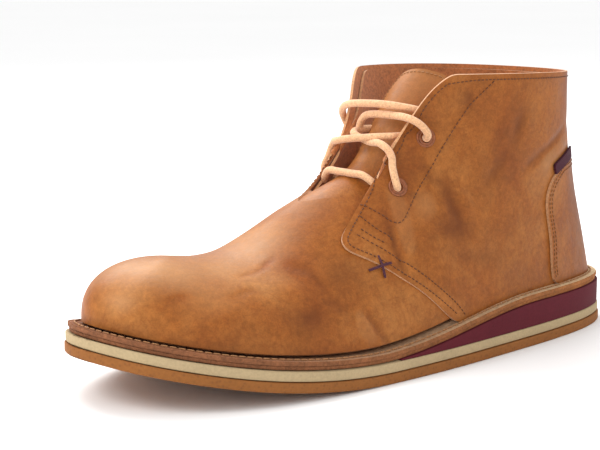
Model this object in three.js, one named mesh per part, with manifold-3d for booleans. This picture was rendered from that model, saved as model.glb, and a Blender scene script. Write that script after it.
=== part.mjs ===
// A left chukka boot on a flat wedge sole: heel towards -X, toe towards +X, outer side towards +Y.
// The floor is z = 0, the origin is under the middle of the sole, and lengths are in millimetres.
import * as THREE from "three";
import { mergeVertices } from "three/addons/utils/BufferGeometryUtils.js";
import Module from "manifold-3d";

const wasm = await Module();
wasm.setup();

// Driving sizes: the sole
const SOLE_LENGTH = 300;
const BALL_WIDTH = 110;
const TOE_SPRING = 20;
const OUTSOLE_THICK = 4.5;
const MIDSOLE_THICK = 4.3;
const WEDGE_RISE = 11;
const WELT_THICK = 3.8;
const WELT_MARGIN = 7;
const HEEL_MARGIN = 9;
const WELT_SETBACK = 1.6;
const MIDSOLE_SETBACK = 0.5;
const WEDGE_SETBACK = 0.9;
const WEDGE_THINNEST = 0.6;
const EDGE_ROUND = 0.7;
const GAP = 0.3;

// Places along the sole, as shares of its half length forward of the middle, and the bend of its toe
const SPRING_START = 0.16;
const SPRING_POWER = 1.8;
const WEDGE_TIP = 0.23;
const WEDGE_FULL = -0.52;

// Driving sizes: the upper
const TOE_HEIGHT = 57;
const SHAFT_HEIGHT = 128;
const COLLAR_LENGTH = 123;
const COLLAR_WIDTH = 72;
const COLLAR_BACK = 26.2;
const COLLAR_DROOP = 4;
const WALL = 1.5;
const QUARTER_THICK = 1.2;
const COUNTER_THICK = 1.4;
const INSOLE_THICK = 2.6;
const INSOLE_GAP = 0.8;

// Sideways shift of the toe's ridge, as a share of half the ball width, and where the margin of the
// welt changes to that of the heel, from the toe at 0 to the back seam at 1
const RIDGE_SHIFT = -0.09;
const MARGIN_CHANGE = { from: 0.6, to: 0.85 };

// Driving sizes: the tongue, the lacing and the side tab
const TONGUE_THICK = 1.8;
const TONGUE_WIDTH = 40;
const EYELET_FLANGE = 9;
const EYELET_BORE = 4.2;
const EYELET_WALL = 0.6;
const EYELET_TAIL = 0.5;
const FLANGE_THICK = 0.8;
const LACE_THICK = 3.4;
const TAB_LENGTH = 27;
const TAB_HEIGHT = 8;
const TAB_THICK = 1.2;

// Plan of the sole, from the toe tip to the heel: half widths outside and inside, as shares of half sizes
const PLAN = [
  { at: 1.0, outer: -0.02, inner: 0.02 },
  { at: 0.979, outer: 0.25, inner: 0.25 },
  { at: 0.91, outer: 0.54, inner: 0.525 },
  { at: 0.783, outer: 0.77, inner: 0.74 },
  { at: 0.6, outer: 0.94, inner: 0.905 },
  { at: 0.4, outer: 1.0, inner: 0.99 },
  { at: 0.2, outer: 0.99, inner: 0.94 },
  { at: -0.07, outer: 0.94, inner: 0.78 },
  { at: -0.33, outer: 0.85, inner: 0.65 },
  { at: -0.6, outer: 0.735, inner: 0.61 },
  { at: -0.8, outer: 0.6, inner: 0.55 },
  { at: -0.935, outer: 0.405, inner: 0.4 },
  { at: -1.0, outer: 0.01, inner: -0.01 },
];

// Ridge of the closed form from the toe box to the front of the collar: reach as a share of the way from
// the collar's front to the toe tip, rise as a share of the way from the toe's height to the shaft's
const RIDGE = [
  { at: 0.0, reach: 0.68, rise: -0.025 },
  { at: 0.05, reach: 0.674, rise: -0.025 },
  { at: 0.13, reach: 0.652, rise: -0.025 },
  { at: 0.21, reach: 0.615, rise: -0.025 },
  { at: 0.3, reach: 0.54, rise: -0.03 },
  { at: 0.38, reach: 0.43, rise: 0.02 },
  { at: 0.46, reach: 0.31, rise: 0.16 },
  { at: 0.51, reach: 0.22, rise: 0.255 },
  { at: 0.55, reach: 0.13, rise: 0.33 },
  { at: 0.58, reach: 0.07, rise: 0.52 },
  { at: 0.61, reach: 0, rise: 1 },
];

// Turn round the collar from its front to the back seam, in degrees
const COLLAR = [
  { at: 0.61, turn: 0 },
  { at: 0.67, turn: 42 },
  { at: 0.76, turn: 86 },
  { at: 0.86, turn: 126 },
  { at: 0.93, turn: 153 },
  { at: 1.0, turn: 180 },
];

// Profile of the skin up each column, with handle lengths as shares of the column's height
const PROFILE = [
  { at: 0.0, lean: 0.12, low: 0.75, high: 0.95, over: 1 },
  { at: 0.06, lean: 0.12, low: 0.75, high: 0.95, over: 1 },
  { at: 0.17, lean: 0.12, low: 0.72, high: 0.9, over: 1 },
  { at: 0.3, lean: 0.1, low: 0.62, high: 0.6, over: 1 },
  { at: 0.42, lean: 0.05, low: 0.52, high: 0.42, over: 1 },
  { at: 0.52, lean: 0.0, low: 0.44, high: 0.32, over: 1 },
  { at: 0.58, lean: -0.04, low: 0.4, high: 0.3, over: 0.6 },
  { at: 0.65, lean: -0.08, low: 0.36, high: 0.28, over: 0.25 },
  { at: 0.74, lean: -0.1, low: 0.34, high: 0.36, over: 0.04 },
  { at: 0.82, lean: -0.1, low: 0.32, high: 0.42, over: 0 },
  { at: 0.92, lean: -0.12, low: 0.3, high: 0.48, over: 0 },
  { at: 1.0, lean: -0.12, low: 0.3, high: 0.5, over: 0 },
];

// Front edge of the quarters: from the welt up the seam to its corner and on up the throat to the collar
const QUARTER_EDGE = [
  { at: 0.0, around: 0.603, up: 0.0 },
  { at: 0.16, around: 0.573, up: 0.169 },
  { at: 0.3, around: 0.548, up: 0.303 },
  { at: 0.42, around: 0.524, up: 0.43 },
  { at: 0.5, around: 0.504, up: 0.505 },
  { at: 0.56, around: 0.501, up: 0.55 },
  { at: 0.62, around: 0.51, up: 0.605 },
  { at: 0.7, around: 0.534, up: 0.675 },
  { at: 0.78, around: 0.565, up: 0.74 },
  { at: 0.88, around: 0.62, up: 0.84 },
  { at: 1.0, around: 0.668, up: 1.0 },
];

// Front edge of the counter, from the welt to the round of its corner
const COUNTER_EDGE = [
  { at: 0.0, around: 0.762, up: 0.0 },
  { at: 0.35, around: 0.776, up: 0.2 },
  { at: 0.65, around: 0.779, up: 0.36 },
  { at: 0.85, around: 0.791, up: 0.455 },
  { at: 1.0, around: 0.815, up: 0.54 },
];
const COUNTER_BACK = 0.66;

// Opening of the throat seen from the front: rise as in RIDGE, half as a share of the collar's half width
const THROAT = [
  { rise: 0.352, half: 0.3 },
  { rise: 0.362, half: 0.44 },
  { rise: 0.39, half: 0.47 },
  { rise: 0.49, half: 0.5 },
  { rise: 0.61, half: 0.53 },
  { rise: 0.73, half: 0.57 },
  { rise: 0.82, half: 0.64 },
  { rise: 0.91, half: 0.71 },
  { rise: 1.0, half: 0.83 },
  { rise: 1.09, half: 0.96 },
];

// Tongue from its root under the vamp to its top: reach and rise as in RIDGE, half as a share of its half
// width, shift as a share of the collar's half width, bow and skew as shares of its half width
const TONGUE = [
  { at: 0.0, reach: 0.2105, rise: 0.215, half: 0.7, shift: -0.05, bow: 0.4, skew: 0 },
  { at: 0.12, reach: 0.145, rise: 0.268, half: 0.78, shift: -0.04, bow: 0.42, skew: 0 },
  { at: 0.25, reach: 0.066, rise: 0.332, half: 0.84, shift: 0, bow: 0.46, skew: 0.02 },
  { at: 0.38, reach: 0.013, rise: 0.415, half: 0.88, shift: 0.05, bow: 0.5, skew: 0.06 },
  { at: 0.52, reach: -0.03, rise: 0.521, half: 0.9, shift: 0.09, bow: 0.5, skew: 0.1 },
  { at: 0.67, reach: -0.078, rise: 0.662, half: 0.9, shift: 0.105, bow: 0.51, skew: 0.16 },
  { at: 0.82, reach: -0.122, rise: 0.803, half: 0.86, shift: 0.12, bow: 0.46, skew: 0.2 },
  { at: 0.93, reach: -0.17, rise: 0.93, half: 0.78, shift: 0.14, bow: 0.34, skew: 0.22 },
  { at: 1.0, reach: -0.204, rise: 1.01, half: 0.56, shift: 0.15, bow: 0.24, skew: 0.22 },
];

// Eyelets: two to each side
const EYELETS = [
  { name: "low", around: 0.583, up: 0.611 },
  { name: "high", around: 0.648, up: 0.698 },
];

// Side tab along the counter's top edge
const TAB_MIDDLE = 0.865;

// Lace. The lowest bar crosses the tongue: reach and rise of its ends as shares of the tongue's half width
const BAR = { along: 0.28, reach: 0.65, rise: 0.19 };

// Each strand of the crossing climbs from a lower eyelet: steps on the skin, and lift in lace thicknesses
const STRAND_START = [
  { around: 0, up: 0, lift: 0.12 },
  { around: 0.001, up: 0.02, lift: 0.47 },
  { around: 0.004, up: 0.06, lift: 0.33 },
  { around: 0.008, up: 0.1, lift: 0.24 },
];

// It then runs over the tongue, with the lifts of the lower and the upper strand in lace thicknesses
const STRAND_CROSSING = [
  { along: 0.49, side: 0.78, under: 3.97, over: 3.97 },
  { along: 0.53, side: 0, under: 1.35, over: 2.18 },
  { along: 0.58, side: -0.62, under: 2.35, over: 2.35 },
];

// Routes of the two free ends from the upper eyelets: the outer one drops inside beside the tongue
const OUTER_END = [
  { x: -16.3, y: 27.1, z: 99.9 },
  { x: -15.4, y: 28.6, z: 101.6 },
  { x: -13.6, y: 28, z: 104.6 },
  { x: -11.2, y: 25.4, z: 107.4 },
  { x: -9.6, y: 20.2, z: 109 },
  { x: -9.6, y: 13, z: 109.2 },
  { x: -8.9, y: 6, z: 109.2 },
  { x: -8.5, y: 0, z: 108.9 },
  { x: -8.4, y: -5, z: 107.9 },
  { x: -8.8, y: -8.6, z: 105.2 },
  { x: -9, y: -10.2, z: 101.6 },
  { x: -9.2, y: -10.8, z: 97.8 },
];
const INNER_END = [
  { x: -16.8, y: -24, z: 99.6 },
  { x: -15.6, y: -25.6, z: 101.2 },
  { x: -13.2, y: -25.6, z: 104.6 },
  { x: -10.2, y: -23.6, z: 108 },
  { x: -7.6, y: -19.6, z: 110.8 },
  { x: -6, y: -14, z: 112.6 },
  { x: -5.6, y: -8, z: 113.4 },
  { x: -6.2, y: -2, z: 113.8 },
  { x: -7.6, y: 4, z: 114 },
  { x: -9.6, y: 9.4, z: 113.8 },
  { x: -12.2, y: 14, z: 113.2 },
  { x: -15.4, y: 17.6, z: 112.4 },
  { x: -18.8, y: 20, z: 111.4 },
];

// Numbers of steps that the curved pieces are cut into
const FRONT_COLUMNS = 21;
const BACK_COLUMNS = 13;
const ROWS = 12;
const QUARTER_COLUMNS = 14;
const COUNTER_COLUMNS = 12;
const TONGUE_ROWS = 14;
const TONGUE_COLUMNS = 8;
const BORE_SIDES = 16;
const SEAT_SIDES = 20;
const LACE_SIDES = 8;
const LACE_STEP = 3.4;

const halfLength = SOLE_LENGTH / 2;
const halfWidth = BALL_WIDTH / 2;
const UP = new THREE.Vector3(0, 0, 1);

// Even steps between two values, both ends included
function steps(from, to, count) {
  return Array.from({ length: count + 1 }, (_, i) => from + ((to - from) * i) / count);
}

// A smooth line through one named column of a table, against its column at
function smooth(table, name) {
  const xs = table.map((row) => row.at);
  const ys = table.map((row) => row[name]);
  const slope = (i) => {
    const a = Math.max(i - 1, 0);
    const b = Math.min(i + 1, xs.length - 1);
    return (ys[b] - ys[a]) / (xs[b] - xs[a]);
  };
  return (x) => {
    let i = 0;
    while (i < xs.length - 2 && x > xs[i + 1]) i += 1;
    const span = xs[i + 1] - xs[i];
    const t = THREE.MathUtils.clamp((x - xs[i]) / span, 0, 1);
    const s = 1 - t;
    const start = ys[i] * (1 + 2 * t) + slope(i) * span * t;
    const end = ys[i + 1] * (1 + 2 * s) - slope(i + 1) * span * s;
    return start * s * s + end * t * t;
  };
}

// Plan of the sole
const planLoop = (() => {
  const outer = PLAN.map((row) => new THREE.Vector3(row.at, row.outer, 0));
  const inner = PLAN.slice(1, -1).map((row) => new THREE.Vector3(row.at, -row.inner, 0));
  return new THREE.CatmullRomCurve3([...outer, ...inner.reverse()], true);
})();
const planBox = new THREE.Box3().setFromPoints(planLoop.getPoints(960));

// A point of the sole's plan, set in from the edge: way runs 0 at the toe, 1 at the heel, 2 at the toe
function planPoint(way, inset) {
  const share = (((way / 2) % 1) + 1) % 1;
  const place = planLoop.getPoint(share);
  const ahead = planLoop.getPoint((share + 1e-4) % 1);
  const behind = planLoop.getPoint((share + 1 - 1e-4) % 1);
  const toReal = (p) => {
    const x = (p.x - planBox.min.x) / (planBox.max.x - planBox.min.x) - 0.5;
    const y = (p.y - planBox.min.y) / (planBox.max.y - planBox.min.y) - 0.5;
    return new THREE.Vector3(x * SOLE_LENGTH, y * BALL_WIDTH, 0);
  };
  const run = toReal(ahead).sub(toReal(behind)).normalize();
  const out = new THREE.Vector3(run.y, -run.x, 0);
  return { place: toReal(place).addScaledVector(out, -inset), out };
}

// Heights of the sole's layers, which all bend up towards the toe
function ground(x) {
  const share = (x / halfLength - SPRING_START) / (1 - SPRING_START);
  return share > 0 ? TOE_SPRING * share ** SPRING_POWER : 0;
}

// The first way along the edge, from the toe, where a test of x holds
function wayWhere(test) {
  return steps(0, 1, 400).find((way) => test(planPoint(way, 0).place.x));
}

function wedge(x) {
  return WEDGE_RISE * THREE.MathUtils.smoothstep(-x / halfLength, -WEDGE_TIP, -WEDGE_FULL);
}

const outsoleTop = (x) => ground(x) + OUTSOLE_THICK;
const midsoleLow = (x) => outsoleTop(x) + GAP;
const midsoleTop = (x) => midsoleLow(x) + MIDSOLE_THICK;
const weltLow = (x) => midsoleTop(x) + GAP + wedge(x);
const weltTop = (x) => weltLow(x) + WELT_THICK;
const footing = (x) => weltTop(x) + GAP;

// Solids from faces
function quad(faces, a, b, c, d) {
  faces.push([a, b, c], [a, c, d]);
}

function geometry(faces) {
  const points = faces.flat().flatMap((p) => [p.x, p.y, p.z]);
  const soup = new THREE.BufferGeometry();
  soup.setAttribute("position", new THREE.Float32BufferAttribute(points, 3));
  const merged = mergeVertices(soup, 1e-3);
  const index = [];
  for (let i = 0; i < merged.index.count; i += 3) {
    const [a, b, c] = [0, 1, 2].map((k) => merged.index.getX(i + k));
    if (a !== b && b !== c && c !== a) index.push(a, b, c);
  }
  merged.setIndex(index);
  return merged;
}

function toSolid(shape) {
  const plain = new THREE.BufferGeometry();
  plain.setAttribute("position", shape.getAttribute("position"));
  if (shape.index) plain.setIndex(shape.index);
  const merged = mergeVertices(plain, 1e-3);
  return new wasm.Manifold(
    new wasm.Mesh({
      numProp: 3,
      vertProperties: new Float32Array(merged.getAttribute("position").array),
      triVerts: new Uint32Array(merged.index.array),
    }),
  );
}

function toGeometry(solid) {
  const mesh = solid.getMesh();
  const shape = new THREE.BufferGeometry();
  const points = [];
  for (let i = 0; i < mesh.numVert; i += 1) {
    points.push(...mesh.vertProperties.subarray(i * mesh.numProp, i * mesh.numProp + 3));
  }
  shape.setAttribute("position", new THREE.Float32BufferAttribute(points, 3));
  shape.setIndex([...mesh.triVerts]);
  return shape;
}

// A closed solid between two grids of points that face out and in, with a rim along each open edge
function between(outer, inner, { loop = false, topRim = () => true } = {}) {
  const faces = [];
  const rows = outer.length - 1;
  const cols = outer[0].length - 1;
  for (let i = 0; i < rows; i += 1) {
    for (let j = 0; j < cols; j += 1) {
      quad(faces, outer[i][j], outer[i][j + 1], outer[i + 1][j + 1], outer[i + 1][j]);
      quad(faces, inner[i][j + 1], inner[i][j], inner[i + 1][j], inner[i + 1][j + 1]);
    }
    if (!loop) {
      quad(faces, inner[i][0], outer[i][0], outer[i + 1][0], inner[i + 1][0]);
      quad(faces, outer[i][cols], inner[i][cols], inner[i + 1][cols], outer[i + 1][cols]);
    }
  }
  for (let j = 0; j < cols; j += 1) {
    quad(faces, inner[0][j], inner[0][j + 1], outer[0][j + 1], outer[0][j]);
    if (topRim(j)) {
      quad(faces, outer[rows][j], outer[rows][j + 1], inner[rows][j + 1], inner[rows][j]);
    }
  }
  return faces;
}

// A layer of the sole: rings from its lower face to its upper, each with an inset and a height
function layer(rings, from = 0) {
  const ways = steps(from, 1, FRONT_COLUMNS + BACK_COLUMNS);
  const loops = rings.map(({ inset, height }) => {
    const at = (way) => {
      const p = planPoint(way, inset(way <= 1 ? way : 2 - way)).place;
      return p.setZ(height(p.x));
    };
    return { outer: ways.map(at), inner: ways.map((way) => at(2 - way)) };
  });
  const faces = [];
  for (let i = 0; i < rings.length - 1; i += 1) {
    const [low, high] = [loops[i], loops[i + 1]];
    for (let j = 0; j < ways.length - 1; j += 1) {
      quad(faces, low.outer[j], low.outer[j + 1], high.outer[j + 1], high.outer[j]);
      quad(faces, low.inner[j + 1], low.inner[j], high.inner[j], high.inner[j + 1]);
    }
    quad(faces, low.inner[0], low.outer[0], high.outer[0], high.inner[0]);
  }
  const [first, last] = [loops[0], loops[loops.length - 1]];
  for (let j = 0; j < ways.length - 1; j += 1) {
    quad(faces, first.inner[j], first.inner[j + 1], first.outer[j + 1], first.outer[j]);
    quad(faces, last.outer[j], last.outer[j + 1], last.inner[j + 1], last.inner[j]);
  }
  return geometry(faces);
}

// Skin of the upper: around runs 0 at the toe, 1 at the back seam, 2 at the toe, up runs 0 to 1
const ridgeReach = smooth(RIDGE, "reach");
const ridgeRise = smooth(RIDGE, "rise");
const collarTurn = smooth(COLLAR, "turn");
const profile = {
  lean: smooth(PROFILE, "lean"),
  low: smooth(PROFILE, "low"),
  high: smooth(PROFILE, "high"),
  over: smooth(PROFILE, "over"),
};
const collarStart = COLLAR[0].at;
const collarBackX = -halfLength + COLLAR_BACK;
const collarFrontX = collarBackX + COLLAR_LENGTH;

function ridgePoint(at) {
  const x = collarFrontX + ridgeReach(at) * (halfLength - collarFrontX);
  const z = TOE_HEIGHT + ridgeRise(at) * (SHAFT_HEIGHT - TOE_HEIGHT);
  const y = RIDGE_SHIFT * halfWidth * THREE.MathUtils.smoothstep(x, collarFrontX, halfLength / 2);
  return new THREE.Vector3(x, y, z);
}

function topPoint(at, side) {
  if (at < collarStart) return ridgePoint(at);
  const turn = THREE.MathUtils.degToRad(collarTurn(at));
  const x = collarBackX + (COLLAR_LENGTH / 2) * (1 + Math.cos(turn));
  const y = (side * COLLAR_WIDTH * Math.sin(turn)) / 2;
  const droop = COLLAR_DROOP * (1 - Math.cos(turn)) ** 2 / 4;
  return new THREE.Vector3(x, y, SHAFT_HEIGHT - droop);
}

function ridgeSlope(at) {
  const d = 0.01;
  const ahead = ridgePoint(Math.min(at + d, collarStart));
  const behind = ridgePoint(Math.max(at - d, 0));
  const run = ahead.x - behind.x;
  return Math.abs(run) > 1e-6 ? (ahead.z - behind.z) / run : 0;
}

function footMargin(at) {
  const share = THREE.MathUtils.smoothstep(at, MARGIN_CHANGE.from, MARGIN_CHANGE.to);
  return THREE.MathUtils.lerp(WELT_MARGIN, HEEL_MARGIN, share);
}

function skinPoint(around, up) {
  const way = ((around % 2) + 2) % 2;
  const at = way <= 1 ? way : 2 - way;
  const side = way <= 1 ? 1 : -1;
  const { place, out } = planPoint(way, footMargin(at));
  const foot = place.clone().setZ(footing(place.x));
  const top = topPoint(at, side);
  const height = top.z - foot.z;
  const rise = out.clone().multiplyScalar(profile.lean(at)).add(UP);
  const lower = foot.clone().addScaledVector(rise, profile.low(at) * height);
  const across = new THREE.Vector3(top.x - foot.x, top.y - foot.y, 0).normalize();
  across.z = across.x * ridgeSlope(at);
  const over = THREE.MathUtils.clamp(profile.over(at), 0, 1);
  const tip = across.normalize().multiplyScalar(over).addScaledVector(UP, 1 - over).normalize();
  const upper = top.clone().addScaledVector(tip, -profile.high(at) * height);
  return new THREE.CubicBezierCurve3(foot, lower, upper, top).getPoint(up);
}

function skinNormal(around, up) {
  const d = 1e-3;
  const at = around <= 1 ? around : 2 - around;
  if (up > 1 - d && at <= collarStart) {
    return new THREE.Vector3(-ridgeSlope(at), 0, 1).normalize();
  }
  const along = skinPoint(around + d, up).sub(skinPoint(around - d, up));
  const rising = skinPoint(around, Math.min(up + d, 1)).sub(skinPoint(around, Math.max(up - d, 0)));
  const normal = along.cross(rising);
  if (up < d) normal.z = 0;
  return normal.normalize();
}

function skin(around, up, lift) {
  return skinPoint(around, up).addScaledVector(skinNormal(around, up), lift);
}

// The closed form, as a wall inside the skin
function formWall() {
  const half = [...steps(0, collarStart, FRONT_COLUMNS), ...steps(collarStart, 1, BACK_COLUMNS).slice(1)];
  const ways = [...half, ...half.slice(0, -1).reverse().map((at) => 2 - at)];
  const grid = (lift) => steps(0, 1, ROWS).map((up) => ways.map((way) => skin(way, up, lift)));
  const onCollar = (j) => {
    const middle = (ways[j] + ways[j + 1]) / 2;
    return (middle <= 1 ? middle : 2 - middle) > collarStart;
  };
  return geometry(between(grid(0), grid(-WALL), { loop: true, topRim: onCollar }));
}

// Height of a panel's row between its front edge and the back seam, near running 0 to 1
function rowHeight(front, rear, near) {
  return front + (rear - front) * (1 - (1 - near) ** 3);
}

// A place on a panel that wraps the heel: row runs from the welt to the top, across from edge to edge
function panelPlace(edge, back, row, across) {
  const start = { around: smooth(edge, "around")(row), up: smooth(edge, "up")(row) };
  const near = 1 - Math.abs(across - 1);
  const last = edge[edge.length - 1];
  const up = rowHeight(start.up, (start.up * back) / last.up, near);
  const at = start.around + (1 - start.around) * near;
  return { around: across <= 1 ? at : 2 - at, up };
}

function panel(edge, back, rows, columns, low, high) {
  const grid = (lift) =>
    rows.map((row) =>
      steps(0, 2, 2 * columns).map((across) => {
        const { around, up } = panelPlace(edge, back, row, across);
        return skin(around, up, lift);
      }),
    );
  return geometry(between(grid(high), grid(low)));
}

// Rows of the quarters, close together round their front corners, and clear of the welt and the collar
const quarterRows = [0.012, 0.1, 0.2, 0.3, 0.4, 0.48, 0.53, 0.58, 0.64, 0.72, 0.8, 0.9, 0.988];

// The opening of the throat, as a block to cut away
function throatBlock() {
  const toZ = (rise) => TOE_HEIGHT + rise * (SHAFT_HEIGHT - TOE_HEIGHT);
  const side = THROAT.map(({ rise, half }) => new THREE.Vector2((half * COLLAR_WIDTH) / 2, toZ(rise)));
  const other = side.map((p) => new THREE.Vector2(-p.x, p.y)).reverse();
  const shape = new THREE.Shape([...side, ...other]);
  const depth = COLLAR_LENGTH;
  const block = new THREE.ExtrudeGeometry(shape, { depth, bevelEnabled: false });
  block.rotateX(Math.PI / 2);
  block.rotateZ(Math.PI / 2);
  block.translate(collarFrontX - COLLAR_LENGTH / 2, 0, 0);
  return block;
}

// Turns a shape built along Z to stand on the skin at a place, pointing out
function stand(shape, around, up, lift) {
  const place = skin(around, up, lift);
  const turn = new THREE.Quaternion().setFromUnitVectors(UP, skinNormal(around, up));
  return shape.applyQuaternion(turn).translate(place.x, place.y, place.z);
}

const eyeletPlaces = EYELETS.flatMap(({ name, around, up }) => [
  { name: "eyelet_outer_" + name, around, up },
  { name: "eyelet_inner_" + name, around: 2 - around, up },
]);
const onQuarter = QUARTER_THICK + GAP;
const barrelRadius = EYELET_BORE / 2 + EYELET_WALL;
const barrelDepth = WALL + QUARTER_THICK + GAP + EYELET_TAIL;
const seatRadius = EYELET_FLANGE / 2 + GAP;
const seatReach = 2 * WALL;

function upperShape() {
  let solid = toSolid(formWall());
  const sunk = -WALL / 2;
  const quarters = panel(QUARTER_EDGE, 1, quarterRows, QUARTER_COLUMNS, sunk, QUARTER_THICK);
  solid = solid.add(toSolid(quarters));
  solid = solid.subtract(toSolid(throatBlock()));
  for (const { around, up } of eyeletPlaces) {
    const boreRadius = barrelRadius + GAP;
    const bore = new THREE.CylinderGeometry(boreRadius, boreRadius, 4 * barrelDepth, BORE_SIDES);
    bore.rotateX(Math.PI / 2);
    solid = solid.subtract(toSolid(stand(bore, around, up, 0)));
    const seat = new THREE.CylinderGeometry(seatRadius, seatRadius, seatReach, SEAT_SIDES);
    seat.rotateX(Math.PI / 2);
    solid = solid.subtract(toSolid(stand(seat, around, up, QUARTER_THICK + seatReach / 2)));
  }
  const parts = solid.decompose().sort((a, b) => b.volume() - a.volume());
  return toGeometry(parts[0]);
}

function eyeletShape({ around, up }) {
  const bore = EYELET_BORE / 2;
  const rim = EYELET_FLANGE / 2;
  const section = [
    [bore, -barrelDepth],
    [barrelRadius, -barrelDepth],
    [barrelRadius, 0],
    [rim, 0],
    [rim, FLANGE_THICK / 2],
    [rim - FLANGE_THICK, FLANGE_THICK],
    [bore + FLANGE_THICK / 2, FLANGE_THICK],
    [bore, FLANGE_THICK / 2],
    [bore, -barrelDepth],
  ].map(([r, z]) => new THREE.Vector2(r, z));
  const ring = new THREE.LatheGeometry(section, BORE_SIDES).rotateX(Math.PI / 2);
  return stand(ring, around, up, onQuarter);
}

// The tongue's sheet: along runs from root to top, across from -1 at the inner edge to 1 at the outer
const tongueLine = Object.fromEntries(
  ["reach", "rise", "half", "shift", "bow", "skew"].map((name) => [name, smooth(TONGUE, name)]),
);

function tongueSpine(along) {
  const x = collarFrontX + tongueLine.reach(along) * (halfLength - collarFrontX);
  return new THREE.Vector3(x, 0, TOE_HEIGHT + tongueLine.rise(along) * (SHAFT_HEIGHT - TOE_HEIGHT));
}

function onTongue(along, across, lift) {
  const d = 0.02;
  const run = tongueSpine(Math.min(along + d, 1)).sub(tongueSpine(Math.max(along - d, 0))).normalize();
  const normal = new THREE.Vector3(run.z, 0, -run.x);
  const half = TONGUE_WIDTH / 2;
  const width = tongueLine.half(along) * half;
  const place = tongueSpine(along);
  place.y = tongueLine.shift(along) * (COLLAR_WIDTH / 2) + across * width;
  place.addScaledVector(normal, -tongueLine.bow(along) * half * across * across);
  place.x -= tongueLine.skew(along) * half * across;
  return place.addScaledVector(normal, lift);
}

function tongueShape() {
  const grid = (lift) =>
    steps(0, 1, TONGUE_ROWS).map((along) =>
      steps(-1, 1, TONGUE_COLUMNS).map((across) => onTongue(along, across, lift)),
    );
  return geometry(between(grid(0), grid(-TONGUE_THICK)));
}

// Side tab, standing above the counter's top edge on the outer side
function tabShape() {
  const corner = COUNTER_EDGE[COUNTER_EDGE.length - 1];
  const edgeUp = (around) => {
    return rowHeight(corner.up, COUNTER_BACK, (around - corner.around) / (1 - corner.around));
  };
  const d = 0.01;
  const middleUp = edgeUp(TAB_MIDDLE);
  const wide = skin(TAB_MIDDLE + d, middleUp, 0).distanceTo(skin(TAB_MIDDLE - d, middleUp, 0)) / (2 * d);
  const tall = skin(TAB_MIDDLE, middleUp + d, 0).distanceTo(skin(TAB_MIDDLE, middleUp - d, 0)) / (2 * d);
  const half = TAB_LENGTH / wide / 2;
  const grid = (lift) =>
    steps(2 * GAP, 2 * GAP + TAB_HEIGHT, 3).map((rise) =>
      steps(TAB_MIDDLE - half, TAB_MIDDLE + half, 6).map((around) =>
        skin(around, edgeUp(around) + rise / tall, lift),
      ),
    );
  return geometry(between(grid(onQuarter + TAB_THICK), grid(onQuarter)));
}

// Lace
function tube(points) {
  const path = new THREE.CatmullRomCurve3(points);
  const section = new THREE.Shape(
    steps(0, 2 * Math.PI, LACE_SIDES).slice(1).map((angle) => {
      return new THREE.Vector2(Math.cos(angle), Math.sin(angle)).multiplyScalar(LACE_THICK / 2);
    }),
  );
  const count = Math.ceil(path.getLength() / LACE_STEP);
  return new THREE.ExtrudeGeometry(section, { steps: count, bevelEnabled: false, extrudePath: path });
}

const aboveEyelet = onQuarter + FLANGE_THICK + GAP;

function laceBar() {
  const half = TONGUE_WIDTH / 2;
  const points = steps(-1, 1, 4).map((across) => {
    const lift = LACE_THICK / 2 + 2 * GAP + BAR.rise * half * across * across;
    return onTongue(BAR.along, BAR.reach * across, lift);
  });
  return tube(points);
}

function laceStrand(side, layerName) {
  const [low] = EYELETS;
  const climb = STRAND_START.map((step) => {
    const at = low.around + step.around;
    return skin(side > 0 ? at : 2 - at, low.up + step.up, aboveEyelet + step.lift * LACE_THICK);
  });
  const across = STRAND_CROSSING.map((step) => {
    return onTongue(step.along, side * step.side, step[layerName] * LACE_THICK);
  });
  return toSolid(tube([...climb, ...across]));
}

function laceCrossing() {
  return toGeometry(laceStrand(1, "under").add(laceStrand(-1, "over")));
}

function laceEnd(route) {
  return tube(route.map(({ x, y, z }) => new THREE.Vector3(x, y, z)));
}

const COLOURS = {
  leather: "#a96f42",
  burgundy: "#66283a",
  cream: "#c9b88c",
  gum: "#a96b47",
  lace: "#e0b48c",
  insole: "#8a5a38",
};
const finish = (color, roughness) => new THREE.MeshStandardMaterial({ color, roughness, metalness: 0 });
const leather = finish(COLOURS.leather, 0.6);
const burgundy = finish(COLOURS.burgundy, 0.75);
const cream = finish(COLOURS.cream, 0.8);
const gum = finish(COLOURS.gum, 0.8);
const cordFinish = finish(COLOURS.lace, 0.75);
const insoleFinish = finish(COLOURS.insole, 0.7);
const brass = new THREE.MeshStandardMaterial({ color: "#b98c5f", roughness: 0.45, metalness: 0.6 });

const boot = new THREE.Group();

function piece(name, shape, material) {
  const mesh = new THREE.Mesh(shape, material);
  mesh.name = name;
  boot.add(mesh);
}

const soleRings = (low, high, setback) => [
  { inset: () => setback + EDGE_ROUND, height: low },
  { inset: () => setback, height: (x) => low(x) + EDGE_ROUND },
  { inset: () => setback, height: (x) => high(x) - EDGE_ROUND },
  { inset: () => setback + EDGE_ROUND, height: high },
];

piece("outsole", layer(soleRings(ground, outsoleTop, 0)), gum);
piece("midsole", layer(soleRings(midsoleLow, midsoleTop, MIDSOLE_SETBACK)), cream);
const wedgeLow = (x) => midsoleTop(x) + GAP;
const wedgeTop = (x) => weltLow(x) - GAP;
const wedgeFrom = wayWhere((x) => wedgeTop(x) - wedgeLow(x) > WEDGE_THINNEST);
const wedgeRings = [
  { inset: () => WEDGE_SETBACK, height: wedgeLow },
  { inset: () => WEDGE_SETBACK, height: wedgeTop },
];
piece("wedge", layer(wedgeRings, wedgeFrom), burgundy);
piece("welt", layer(soleRings(weltLow, weltTop, WELT_SETBACK)), leather);
const insoleInset = (at) => footMargin(at) + WALL + INSOLE_GAP;
const insoleRings = [
  { inset: insoleInset, height: footing },
  { inset: insoleInset, height: (x) => footing(x) + INSOLE_THICK },
];
piece("insole", layer(insoleRings), insoleFinish);
piece("upper", upperShape(), leather);
const counterRows = steps(0, 1, 7);
const counterTop = onQuarter + COUNTER_THICK;
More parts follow.
